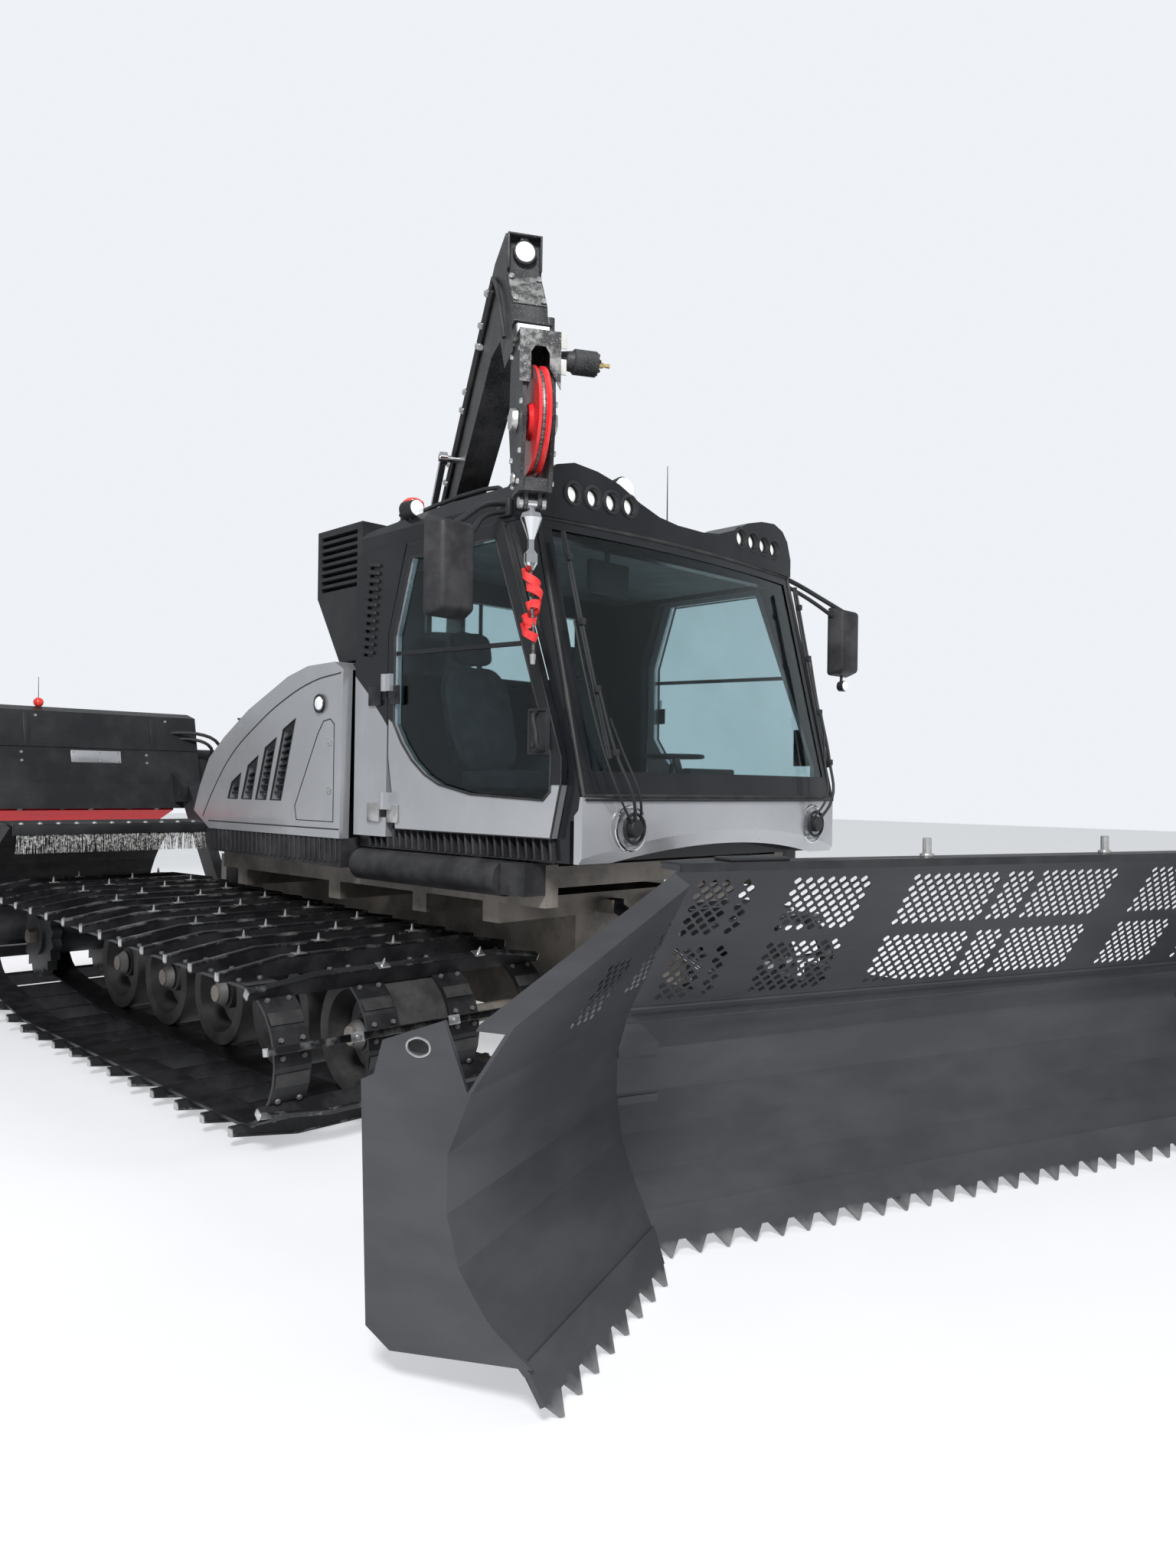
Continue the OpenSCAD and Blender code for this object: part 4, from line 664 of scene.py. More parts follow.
def perforated(node, name, groups, turned):
    # The object is copied whole, since its own properties say which solid it stands for.
    copy = NODES[node].copy()
    copy.data, copy.name, copy.parent = NODES[node].data.copy(), name, None
    copy.matrix_world = Matrix()
    bpy.context.scene.collection.objects.link(copy)
    copy.hide_render = copy.hide_viewport = False
    edit_all(copy)
    bpy.ops.mesh.remove_doubles(threshold=0.00002)
    bpy.ops.object.mode_set(mode="OBJECT")
    before = len(copy.data.polygons)
    places = [turned @ m for group in groups for m in hole_group(*group)]
    cut_out(copy, pockets(groups, turned))
    cut_out(copy, diamonds(places))
    print(name, before, "->", len(copy.data.polygons), "faces,", len(places), "holes")
    dress(name, copy, BLADE_COAT, node, angle=8)
    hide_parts(node)
    return copy


def far_side(x, n):
    return -x - (n - 0.5) * PITCH


half_groups = [(-1.450, 3), (-1.270, 1), (-1.062, 7), (-0.530, 9)]
main_groups = [(x, n, climb, 9) for climb in (0.052, 0.345)
               for x, n in half_groups + [(-0.060, 3)] + [(far_side(x, n), n) for x, n in half_groups]]
perforated("blade_main", "blade_sheet", main_groups, BLADE)
for side, s in SIDES:
    wing_groups = [(x if s > 0 else far_side(x, n), n, climb, rows)
                   for x, n, climb, rows in ((1.80, 3, 0.16, 11), (2.10, 4, 0.10, 9))]
    sheet = perforated("wing_" + side, "wing_sheet_" + side, wing_groups, FOLD[s])
    grip_hole = block((s * 2.77 - 0.03, -0.180, 0.865), (s * 2.77 + 0.03, -0.110, 0.901), 0.014)
    grip_hole.data.transform(FOLD[s])
    cut_out(sheet, grip_hole)

# %% [markdown]
# The guard is a sheet of its own, bolted on: a bead runs along its foot, its edge is rolled, and two bright
# marker pins stand on its dark top rail.

# %% Rails, bead and pins of the blade
beads = [pipe([(x, y, z) for x in (-1.555, 0, 1.555)], r)
         for y, z, r in ((-0.304, 0.782, 0.006), (-0.302, 0.735, 0.0035))]
dress("guard_bead", beads, BLADE_COAT, "blade_main", turned=BLADE)
rail = plate([(-0.655, 1.286), (-0.655, 1.3145), (-0.520, 1.3145), (-0.520, 1.305), (-0.646, 1.305), (-0.646, 1.286)],
             -1.558, 1.558)
step = block((-1.36, -0.640, 1.3145), (-1.12, -0.530, 1.328), 0.006)
dress("guard_rail", [rail, step], ("steel", black_paint), "blade_main", turned=BLADE)
pin = [bar((0, -0.585, 1.31), (0, -0.585, 1.385), 0.016, 0.016, 20, 0.003),
       bar((0, -0.585, 1.31), (0, -0.585, 1.327), 0.027, sides=6, edge=0.002)]
dress("marker_pins", pin, PLATED, "blade_main", [BLADE @ move(x) for x in (-0.47, 0.47)])

# %% Bolt rows on the blade's back and the zig-zag hinge strips
bolt = bar((0, 0, 0), (0, 0, 0.007), 0.011, 0.009, 6, 0)
bolt.data.transform(move(0, -0.009, 0.02) @ spin(90, "X"))
places = [BLADE @ move(x * 0.156, -0.268, 0.735) @ spin(180) for x in range(-9, 10)]
dress("guard_bolts", bolt, ("steel", zinc), "blade_main", places)
for side, s in SIDES:
    zigzag = [BLADE @ (Vector((s * (1.545 + 0.010 * (k % 2)), -0.306, 0.80)) + SLOPE * k / 26) for k in range(25)]
    dress("hinge_strip_" + side, pipe(zigzag, 0.004, 2), BRIGHT, "blade_main")

# %% Bright rims of the end plates' hand holes
grip_line = [(-0.180, 0.883), (-0.168, 0.901), (-0.122, 0.901), (-0.110, 0.883), (-0.122, 0.865), (-0.168, 0.865)]
for side, s in SIDES:
    grip = side_line(HINGE_X + 1.215, grip_line, 0.0035, 2, True)
    dress("end_grip_" + side, grip, BRIGHT, "wing_" + side, turned=FOLD[s] @ FLIP[s])

# %% [markdown]
# ## Cab
# The doors are silver only below: a black frame runs round the glass above. Thin black plates on the solid door
# make that change of colour, and rubber seals line the windscreen. The windscreen is part of a drum that leans
# back, so one function gives its front face, and the doors begin where it ends.

# %% Outlines of the screen and the door
def bow(radius, x):
    """How far a front face that is bowed to this radius falls back at x."""
    return radius - math.sqrt(radius * radius - x * x)


SCREEN_R, SCREEN_FOOT, SCREEN_HEAD = 6.0, (-1.700, 1.510), (-1.375, 2.800)


def screen_y(x, z):
    (y0, z0), (y1, z1) = SCREEN_FOOT, SCREEN_HEAD
    return y0 + (y1 - y0) * (z - z0) / (z1 - z0) + bow(SCREEN_R, x)


FOOT_Y, HEAD_Y = SCREEN_FOOT[0] + bow(SCREEN_R, 1) + 0.008, SCREEN_HEAD[0] + bow(SCREEN_R, 1) + 0.012
DOOR_X = 1.0003 + 0.045
front = [(FOOT_Y + 0.081, 1.560), (FOOT_Y + 0.081, 1.680), (HEAD_Y + 0.171, 2.790)]
back = [(-0.358, 2.790), (-0.206, 2.340)]
door_edge = [(FOOT_Y + 0.141, 1.320), *front, *back, (-0.206, 1.700), (-0.280, 1.320)]
pane_edge = [(-0.26, 1.87), (-0.33, 1.77), (-0.42, 1.68), (-0.53, 1.605), (-0.65, 1.555), (-0.90, 1.51),
             (FOOT_Y + 0.19, 1.49), (FOOT_Y + 0.145, 1.53), (FOOT_Y + 0.14, 1.69), (HEAD_Y + 0.215, 2.72),
             (-0.395, 2.72), (-0.26, 2.33)]
frame_edge = [*front, *back, (-0.206, 1.90), pane_edge[0], *pane_edge[:6:-1], (FOOT_Y + 0.145, 1.56)]
print("door front edge from", round(front[0][0], 3), "to", round(front[2][0], 3))

# %% Black door frames and seals
for side, s in SIDES:
    face = plate(frame_edge, DOOR_X - 0.0005, DOOR_X + 0.0035)
    shin = [(y - 0.0015, z) for y, z in front] + [(y + 0.006, z) for y, z in front[::-1]]
    dress("door_frame_" + side, [face, plate(shin, 1.001, DOOR_X + 0.0030)], GLOSSY, "door_" + side, turned=FLIP[s])
    seals = [loop_line(DOOR_X + 0.002, pane_edge, 0.006), loop_line(DOOR_X - 0.003, door_edge, 0.005)]
    dress("door_seals_" + side, seals, RUBBER, "door_" + side, turned=FLIP[s])

# %% [markdown]
# A dark rail crosses each door window, and the black pillar behind the door breathes through a column of short lips.

# %% Window rails and louvre lips
for side, s in SIDES:
    rail = plate([(-1.262, 2.200), (-0.258, 2.226), (-0.258, 2.248), (-1.254, 2.222)], 1.022, 1.037, 0.002)
    dress("window_rail_" + side, rail, GLOSSY, "door_" + side, turned=FLIP[s])
lip = ((-0.066, 2.245), (0.036, 2.261), (0.036, 2.280), (-0.066, 2.264))
lips = [plate([(y - 0.005 * k, z + 0.042 * k) for y, z in lip], 1.0445, 1.060, 0.003) for k in range(12)]
dress("pillar_louvres", lips, TRIM, places=BOTH)

# %% [markdown]
# A door handle is a loop of black plastic on a pad. On the real door it sits at the front edge, half way up.
# Each hinge is a strap on the door and a keeper on the body, with a black block in the slot between them as painted
# shade. The pieces are made on a plane at x = 0 and then moved out to the door's face.

# %% Handles and hinges
grasp = [(0.012, -1.43, 1.715), (0.040, -1.425, 1.73), (0.044, -1.41, 1.80), (0.040, -1.39, 1.87),
         (0.012, -1.38, 1.885)]
pad_rim = [(-1.45, 1.70), (-1.33, 1.70), (-1.33, 1.895), (-1.45, 1.895)]
for side, s in SIDES:
    door, out = "door_" + side, FLIP[s] @ move(DOOR_X)
    handle = [block((0.002, -1.462, 1.690), (0.010, -1.318, 1.905)), pipe(grasp, 0.011),
              loop_line(0.010, pad_rim, 0.008, 3),
              bar((0.008, -1.355, 1.74), (0.016, -1.355, 1.74), 0.014, 0.012, 20, 0.001)]
    dress("door_handle_" + side, handle, TRIM, door, turned=out)
    for level, z, look in (("low", 1.350, PLATED), ("high", 1.970, GLOSSY)):
        strap = [block((0.0005, -0.312, z), (0.010, -0.212, z + 0.100)),
                 bar((0.009, -0.285, z + 0.05), (0.015, -0.285, z + 0.05), 0.010, sides=6, edge=0)]
        dress(f"hinge_strap_{level}_{side}", strap, look, door, turned=out)
        keeper = block((-0.002, -0.150, z), (0.014, -0.035, z + 0.102), 0.005)
        dress(f"hinge_keeper_{level}_{side}", keeper, look, turned=out)
        # A black block in the slot between strap and keeper: painted shade for the dark gap.
        gap_shade = block((-0.002, -0.196, z + 0.028), (0.004, -0.150, z + 0.076), 0.002)
        dress(f"hinge_gap_shade_{level}_{side}", gap_shade, TRIM, turned=out)

# %% [markdown]
# ## Windscreen, wipers and nose
# The screen is bonded behind a black rubber edge. Each wiper is a linkage of two thin arms on a round boss in the nose,
# and parks upright along its pillar. The arms follow points read along the pillar, a few centimetres before the glass.

# %% Windscreen seal
across = (-0.99, -0.5, 0, 0.5, 0.99)
corner = [(x, 1.512) for x in across] + [(x, 2.795) for x in across[::-1]]
line = []
for (x0, z0), (x1, z1) in zip(corner, corner[1:] + corner[:1]):
    line += [(x0 + (x1 - x0) * k / 3, z0 + (z1 - z0) * k / 3) for k in range(3)]
dress("screen_seal", pipe([(x, screen_y(x, z) - 0.002, z) for x, z in line], 0.011, 3, True, "VECTOR"), RUBBER)
dress("nose_lip", pipe([(x, screen_y(x, 1.51) - 0.014, 1.497) for x in np.linspace(-0.985, 0.985, 9)], 0.007), TRIM)

# %% [markdown]
# Round its edge the glass is printed black, which hides the glue from the sun. Along the foot the print is a wide band.

# %% Printed black edge of the windscreen
def screen_patch(x0, x1, z0, z1, columns):
    rows = [(float(x), float(screen_y(x, z)) - 0.003, z) for z in (z0, z1) for x in np.linspace(x0, x1, columns + 1)]
    n = columns + 1
    return changed(meshed("patch", rows, [(i, i + 1, i + 1 + n, i + n) for i in range(columns)]), "SOLIDIFY",
                   thickness=0.0015)


patches = ((-0.985, 0.985, 1.512, 1.625, 24), (-0.985, 0.985, 2.745, 2.793, 24),
           (-0.987, -0.925, 1.6255, 2.7445, 2), (0.925, 0.987, 1.6255, 2.7445, 2))
dress("screen_print", [screen_patch(*patch) for patch in patches], ("trim", black_gloss))

# %% Wipers
BOSS_X, BOSS_Z = -0.731, 1.368
arm_run = [(BOSS_X, -1.690, BOSS_Z), (-0.80, -1.745, 1.50), (-0.862, -1.690, 1.707), (-0.888, -1.610, 1.982)]
blade_run = [(-0.872, -1.672, 1.68), (-0.890, -1.588, 2.00), (-0.905, -1.510, 2.30), (-0.918, -1.435, 2.60),
             (-0.925, -1.405, 2.72)]
hose_run = [(-0.76, -1.70, 1.39), (-0.85, -1.715, 1.50), (-0.905, -1.655, 1.72), (-0.93, -1.56, 2.05),
            (-0.945, -1.50, 2.30)]
clip_at = ((-0.862, -1.69, 1.707), (-0.890, -1.60, 1.99), (-0.905, -1.512, 2.30), (-0.918, -1.437, 2.60))
wiper = [bar((BOSS_X, -1.640, BOSS_Z), (BOSS_X, -1.712, BOSS_Z), 0.046, 0.040, 28, 0.005),
         ring((BOSS_X, -1.690, BOSS_Z), 0.066, 0.008, "Y"), pipe(arm_run, 0.0075),
         pipe([(x + 0.045, y + 0.004, z + 0.012) for x, y, z in arm_run[:3]] + [(-0.862, -1.652, 1.86)], 0.006),
         pipe(blade_run, 0.0065), pipe([(x, y + 0.014, z) for x, y, z in blade_run], 0.009), pipe(hose_run, 0.005),
         repeated(block((-0.013, -0.013, -0.016), (0.013, 0.013, 0.016)), [move(*p) for p in clip_at])]
dress("wipers", wiper, ("black_paint", black_plastic), places=BOTH)
dress("wiper_recesses", ring((BOSS_X, -1.668, BOSS_Z), 0.100, 0.007, "Y"), MIRRORED, places=BOTH)

# %% [markdown]
# ## Roof: lamps, beacon and antenna
# Eight work lamps look out of bores in the two humps of the visor. Each gets a bright cup,
# a black rim and a domed lens, which glows a little as a painted highlight of the sun.

# %% Visor lamps
VISOR_Y, VISOR_Z, VISOR_R = -1.385, 2.930, 7.0
lamp_xs = [s * (0.449 + 0.117 * k) for s in (-1, 1) for k in range(4)]


def in_visor(inset):
    return [move(x, VISOR_Y + bow(VISOR_R, x) + inset, VISOR_Z) for x in lamp_xs]


# The lenses glow with the painted highlight of their finish.
dress("lamp_lenses", dome(0.040, 12, depth=0.35), PAINTED_GLINT, places=in_visor(0.036))
rim = [ring((0, 0, 0), 0.0525, 0.0105, "Y"), ring((0, 0.024, 0), 0.0405, 0.004, "Y")]
dress("lamp_rims", rim, TRIM, places=in_visor(0.004))
dress("lamp_cups", bar((0, 0.015, 0), (0, -0.015, 0), 0.040, 0.026, 28, 0), MIRRORED, places=in_visor(0.052))

# %% Beacon, round lamps, antenna and roof rails
at_beacon, at_corner, at_top = move(-0.90, -0.20), move(-0.975), move(-0.02)
beacon = [bar((0, 0, 2.925), (0, 0, 3.02), 0.070, 0.066, 28, 0.004), ring((0, 0, 2.995), 0.070, 0.006)]
dress("beacon", beacon, TRIM, turned=at_beacon)
dress("beacon_lens", bar((0, 0, 3.02), (0, 0, 3.085), 0.064, 0.052, 28, 0.016), ("red_paint", red_lens),
      turned=at_beacon)
round_lamp = [bar((0, -0.34, 3.0), (0, -0.24, 3.0), 0.045, 0.050, 24, 0.006),
              bar((0, -0.29, 2.915), (0, -0.29, 2.97), 0.012)]
dress("rear_corner_lamp", round_lamp, TRIM, turned=at_corner)
dress("rear_corner_lens", bar((0, -0.345, 3.0), (0, -0.338, 3.0), 0.040, 0.042, 24, 0.002), LAMP, turned=at_corner)
work = [bar((0, -0.93, 3.17), (0, -0.83, 3.17), 0.085, 0.070, 32, 0.01),
        bar((0, -0.87, 2.965), (0, -0.87, 3.10), 0.014),
        block((-0.07, -0.93, 2.955), (0.07, -0.80, 2.975))]
dress("top_lamp", work, TRIM, turned=at_top)
dress("top_lamp_lens", bar((0, -0.940, 3.17), (0, -0.928, 3.17), 0.072, 0.078, 32, 0.003), LAMP, turned=at_top)
whip = [bar((0.37, -0.90, 2.975), (0.37, -0.90, 3.03), 0.020, 0.011),
        bar((0.37, -0.90, 3.03), (0.368, -0.90, 3.40), 0.004, 0.002, 8, 0)]
dress("antenna", whip, TRIM)
hatch = block((-0.32, -0.62, 2.968), (0.32, -0.10, 2.990), 0.010)
rail_line = [(-0.98, 2.975), (-0.94, 3.005), (-0.12, 2.965), (-0.06, 2.93)]
dress("roof_fittings", [hatch] + [side_line(s * 0.93, rail_line, 0.011) for s in (-1, 1)], TRIM)

# %% [markdown]
# ## Mirrors
# A mirror is a tall rounded housing, narrower in front, on two tubes from the visor. It replaces the plain solid box.

# %% Mirrors
HOUSING = Vector((1.530, -1.350, 2.470))


def mirror_housing():
    shell = block(HOUSING + Vector((-0.115, -0.060, -0.215)), HOUSING + Vector((0.115, 0.050, 0.215)), 0)
    for v in shell.data.vertices:
        if v.co.y < HOUSING.y:
            v.co.x = HOUSING.x + (v.co.x - HOUSING.x) * 0.74
            v.co.z = HOUSING.z + (v.co.z - HOUSING.z) * 0.86
    return soften(shell, 0.022, 4)


for side, s in SIDES:
    c = HOUSING
    shell = mirror_housing()
    face = block((c.x - 0.098, c.y + 0.0495, c.z - 0.195), (c.x + 0.098, c.y + 0.053, c.z + 0.195), 0.003)
    tubes = [pipe([(1.03, -1.10, 2.880), (1.20, -1.17, 2.83), (1.42, -1.30, 2.71),
                   (c.x - 0.02, c.y, c.z + 0.19)], 0.014),
             pipe([(1.03, -1.10, 2.842), (1.22, -1.19, 2.77), (1.40, -1.32, 2.64),
                   (c.x - 0.06, c.y, c.z + 0.12)], 0.012),
             block((1.0055, -1.135, 2.822), (1.029, -1.045, 2.903), 0.005)]
    dress("mirror_shell_" + side, shell, SCUFFED, turned=FLIP[s], angle=50)
    arms = dress("mirror_arms_" + side, tubes, DARK, turned=FLIP[s], angle=50)
    dress("mirror_glass_" + side, face, MIRRORED, turned=FLIP[s], angle=50)
    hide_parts("mirrors")
arm_lamp = [bar((1.500, -1.385, 2.195), (1.500, -1.340, 2.195), 0.034, 0.030, 24, 0.004),
            bar((1.500, -1.355, 2.20), (1.505, -1.355, 2.262), 0.009)]
dress("mirror_arm_lamp", arm_lamp, TRIM)
dress("mirror_arm_lens", bar((1.500, -1.392, 2.195), (1.500, -1.384, 2.195), 0.028, 0.031, 24, 0.002), LAMP)

# %% [markdown]
# ## Inside the cab
# Two seats in woven cloth replace the plain solid ones. Each cushion starts as a box, is pinched at its seams
# and is rounded by subdivision, so that it crowns in the middle as foam under cloth does.

# %% Seats
def cushion(low, high, lean=0.0, pinch=0.82, flutes=3):
    """A padded block whose crown swells and whose edges pull in; lean shifts its top along Y."""
    pad = block(low, high, 0)
    edit_all(pad)
    bpy.ops.mesh.subdivide(number_cuts=7)
    bpy.ops.object.mode_set(mode="OBJECT")
    size = [b - a for a, b in zip(low, high)]
    mid = [(a + b) / 2 for a, b in zip(low, high)]
    for v in pad.data.vertices:
        u = [(v.co[i] - low[i]) / size[i] * 2 - 1 for i in range(3)]
        for i in range(3):
            others = [u[k] for k in range(3) if k != i]
            squeeze = 1 - (1 - pinch) * (max(abs(o) for o in others) ** 6)
            v.co[i] = mid[i] + (v.co[i] - mid[i]) * squeeze
        if abs(u[0]) < 0.99:
            groove = abs((u[0] * flutes) % 1 - 0.5)
            v.co.z -= 0.006 * (groove > 0.42)
        v.co.y += lean * (u[2] + 1) / 2
    return changed(pad, "SUBSURF", levels=1, render_levels=1)


FLOOR_Z = 1.270
for n, x in enumerate((0.330, -0.430)):
    z = FLOOR_Z
    for form, half, y0, y1, z0, z1, lean in (("cushion", 0.245, -0.775, -0.265, 0.245, 0.37, 0.0),
                                             ("back", 0.235, -0.325, -0.225, 0.36, 0.955, 0.125),
                                             ("headrest", 0.135, -0.180, -0.105, 0.965, 1.155, 0.03)):
        pad = cushion((x - half, y0, z + z0), (x + half, y1, z + z1), lean)
        dress(f"seat_{form}_{n}", pad, ("seat", seat_cloth), angle=60)
    posts = [bar((x + dx, -0.135, z + 0.90), (x + dx, -0.128, z + 1.0), 0.008) for dx in (-0.05, 0.05)]
    box = block((x - 0.13, -0.645, z + 0.001), (x + 0.13, -0.355, z + 0.245), 0.02)
    base = dress(f"seat_base_{n}", [box] + posts, TRIM)
    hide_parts("seats")

# %% Console, monitor, headliner and rear window bars
console = [block((0.02, -0.80, 1.53), (0.10, -0.40, 1.62), 0.012),
           bar((0.06, -0.72, 1.61), (0.05, -0.74, 1.74), 0.012, 0.018),
           block((0.56, -0.80, 1.53), (0.66, -0.38, 1.62), 0.012),
           bar((0.61, -0.74, 1.61), (0.61, -0.76, 1.70), 0.010, 0.016),
           bar((0.33, -1.10, 1.50), (0.33, -1.02, 1.72), 0.022), ring((0.33, -1.01, 1.73), 0.16, 0.012)]
dress("driver_console", console, TRIM)
monitor = [block((-0.50, -1.16, 2.52), (-0.22, -1.12, 2.70), 0.010),
           bar((-0.36, -1.13, 2.69), (-0.36, -1.13, 2.785), 0.014)]
dress("hanging_monitor", monitor, TRIM)
dress("headliner", block((-0.93, -1.17, 2.765), (0.93, 0.045, 2.790), 0.008), ("seat", headliner_cloth))
desk = [block((0.15, -1.27, 1.555), (0.55, -1.215, 1.66), 0.010),
        block((-0.78, -1.275, 1.56), (0.05, -1.235, 1.585), 0.006)]
dress("dash_top", desk, TRIM)
dress("rear_window_bars", [bar((x, 0.058, 1.985), (x, 0.058, 2.635), 0.012) for x in (-0.21, 0.21)], DARK)

# %% [markdown]
# ## Body sides
# Below the door runs a ribbed sill, behind it the silver engine cover with dark slanted vents,
# a round marker lamp and a hatch with two latches.

# %% Ribs and vents
sill_rib = [(-0.004, 1.218), (0.010, 1.218), (0.022, 1.316), (0.008, 1.316)]
skirt_rib = [(-0.004, 1.118), (0.012, 1.118), (0.020, 1.246), (0.004, 1.246)]
for name, shape, x0, x1, start, end in (("sill_ribs", sill_rib, 0.999, 1.030, -1.46, -0.02),
                                        ("skirt_ribs", skirt_rib, 1.088, 1.099, 0.20, 1.66)):
    dress(name, plate(shape, x0, x1, 0.002), SCUFFED,
          places=on_both([move(0, y) for y in np.arange(start, end, 0.055)]))
VENT_Z, FIN_GAP = 1.450, 0.045
screens, fins = [], []
for k in range(4):
    y, peak = 0.800 + 0.178 * k, 1.925 - 0.105 * k
    rise = peak - VENT_Z
    rear, head = y + 0.125 - 0.30 * rise, y + 0.015 - 0.36 * rise
    shape = [(y, VENT_Z), (y + 0.125, VENT_Z), (rear, peak - 0.06), (head, peak)]
    screens.append(plate([(y - 0.02, VENT_Z - 0.02), (y + 0.145, VENT_Z - 0.02), (rear + 0.02, peak - 0.03),
                          (head - 0.025, peak + 0.02)], 1.030, 1.038))
    for j in range(1, int(rise / FIN_GAP)):
        a, b = (Vector(shape[foot]).lerp(Vector(shape[top]), j * FIN_GAP / rise) for foot, top in ((0, 3), (1, 2)))
        fins.append(plate([(a.x, a.y), (b.x, b.y), (b.x, b.y + 0.010), (a.x, a.y + 0.010)], 1.038, 1.082))
    fins.append(loop_line(1.098, shape, 0.006, 1))
dress("vent_grilles", screens + fins, TRIM, places=BOTH)

# %% Marker lamps, hatch and latches
at_marker = on_both([move(0, 0.373, 1.999)])
rim = [bar((1.099, 0, 0), (1.112, 0, 0), 0.052, 0.048, 32, 0.004), ring((1.112, 0, 0), 0.048, 0.006, "X")]
dress("marker_rims", rim, TRIM, places=at_marker)
dress("marker_lenses", bar((1.110, 0, 0), (1.121, 0, 0), 0.041, 0.034, 32, 0.003), LAMP, places=at_marker)
hatch_edge = ((0.23, 1.34), (0.23, 1.88), (0.27, 1.91), (0.34, 1.90), (0.40, 1.83), (0.64, 1.42), (0.62, 1.34))
cover_edge = ((0.17, 2.16), (0.45, 2.13), (0.80, 2.03), (1.10, 1.90), (1.42, 1.72), (1.66, 1.50), (1.80, 1.33))
cover_foot = ((0.17, 1.30), (0.9, 1.30), (1.72, 1.30))
seams = [loop_line(1.1, hatch_edge, 0.0035, 1)] + [side_line(1.1, edge, 0.004, 1) for edge in (cover_edge, cover_foot)]
dress("cover_seams", seams, RUBBER, places=BOTH)
latch = [block((1.099, 0.255, 1.765), (1.108, 0.285, 1.800), 0.003),
         bar((1.105, 0.270, 1.7825), (1.114, 0.270, 1.7825), 0.011, 0.009)]
dress("latches", latch, PLATED, places=on_both([move(0, 0, z) for z in (0, -0.27)]))

# %% [markdown]
# ## Mudguards
# A row of rivets runs along the front of each guard, and a long brush hangs from a dark holder there to knock snow
# off the bars. A rolled rim follows the guard's outer arch.
# The same seed gives the same hairs on each run.

# %% Rivets and brushes
HAIRS = 330
ARCH_Y, ARCH_Z, ARCH_R = 2.620, 0.450, 0.816
places = on_both([move(x, 2.455, 1.2635) @ spin(11, "X") for x in np.linspace(0.86, 2.0, 11)])
dress("guard_rivets", bar((0, 0, 0), (0, 0, 0.010), 0.018, 0.010, 10, 0), PLATED, places=places)
hair = bar((0, 0, 0), (0, 0, -0.140), 0.0032, 0.0014, 3, 0)
rng = np.random.default_rng(4)
places = [m @ move(0.80 + i * 1.24 / HAIRS, 2.405 + 0.012 * rng.random(), 1.215) @ spin(rng.normal(0, 5), "Y")
          @ spin(rng.normal(0, 4), "X") for m in BOTH for i in range(HAIRS)]
dress("guard_brushes", hair, ("trim", bristle), places=places)
arch = [(ARCH_Y + ARCH_R * math.cos(a), ARCH_Z + ARCH_R * math.sin(a)) for a in np.radians(range(18, 105, 10))]
dress("guard_rims", side_line(2.064, arch, 0.009), SCUFFED, places=BOTH)
dress("brush_holders", block((0.782, 2.398, 1.195), (2.055, 2.4115, 1.255), 0.003), ("trim", black_paint), places=BOTH)

# %% [markdown]
# ## Boom
# The boom's head carries a light bar, the rope sensor's motor on its left and a red sheave with the rope in its groove.
# Hoses with plated fittings run down its right side. All of it is made straight ahead, then turned with the turret.

# %% Sheave rope, pins and clevis
HEAD_AXLE = (-2.650, 3.100)
dress("rope_in_groove", ring((0, *HEAD_AXLE), 0.2085, 0.0095, "X", 60), ROPE, "sheave", turned=TURRET)
mark = block((0.0105, -0.012, 0.085), (0.0125, 0.012, 0.165), 0.001)
dress("sheave_marks", mark, ("red_paint", red_paint), "sheave", [spin(60 * k, "X") for k in range(6)],
      TURRET @ move(0, *HEAD_AXLE))
pin_rows = ((0.0715, 0.100, *HEAD_AXLE, 0.055, 0.050, 6, 0.003), (0.080, 0.083, 0.060, 2.820, 0.05, 0.05, 24, 0),
            (0.0385, 0.060, -2.650, 2.755, 0.026, 0.026, 24, 0.003),
            (0.072, 0.085, -2.620, 2.86, 0.030, 0.026, 6, 0.003))
pins = [bar((s * a, y, z), (s * b, y, z), *form) for a, b, y, z, *form in pin_rows for s in (-1, 1)]
dress("head_pins", pins, PLATED, "boom", turned=TURRET)

# %% Light bar, head plate and motor
MOTOR, LAMP_Z = (-2.50, 3.44), 3.915


def on_motor(x0, x1, *form):
    return bar((x0, *MOTOR), (x1, *MOTOR), *form)


fittings = [block((-0.078, -2.640, 3.455), (0.078, -2.590, 3.525), 0.006),
            block((-0.085, -2.650, 3.523), (0.085, -2.585, 3.531), 0.002),
            plate([(-2.575, 3.36), (-2.612, 3.37), (-2.615, 3.45), (-2.59, 3.46)], -0.06, 0.06, 0.003),
            block((0.081, -2.56, 3.40), (0.115, -2.43, 3.60), 0.006),
            on_motor(0.113, 0.140, 0.052, 0.046, 28, 0.004), on_motor(0.138, 0.215, 0.034, 0.046, 28, 0.002),
            on_motor(0.213, 0.325, 0.055, 0.055, 32, 0.006),
            repeated(bar((0.323, 0.040, 0), (0.333, 0.040, 0), 0.008, sides=6, edge=0),
                     [move(0, *MOTOR) @ spin(60 * k, "X") for k in range(6)])]
hood = [block((x - 0.004, -2.466, 3.835), (x + 0.004, -2.430, 3.992), 0.002) for x in (-0.074, 0.074)]
hood += [block((-0.078, -2.466, 3.985), (0.078, -2.425, 3.993), 0.002),
         bar((0, -2.432, LAMP_Z), (0, -2.462, LAMP_Z), 0.052, 0.052, 32, 0.004),
         block((-0.018, -2.450, 3.955), (0.018, -2.430, 3.988), 0.003)]
dress("head_fittings", fittings + hood, ("black_paint", boom_paint), "boom", turned=TURRET)
face = plate([(-2.448, 3.812), (-2.438, 3.812), (-2.556, 3.638), (-2.566, 3.638)], -0.074, 0.074)
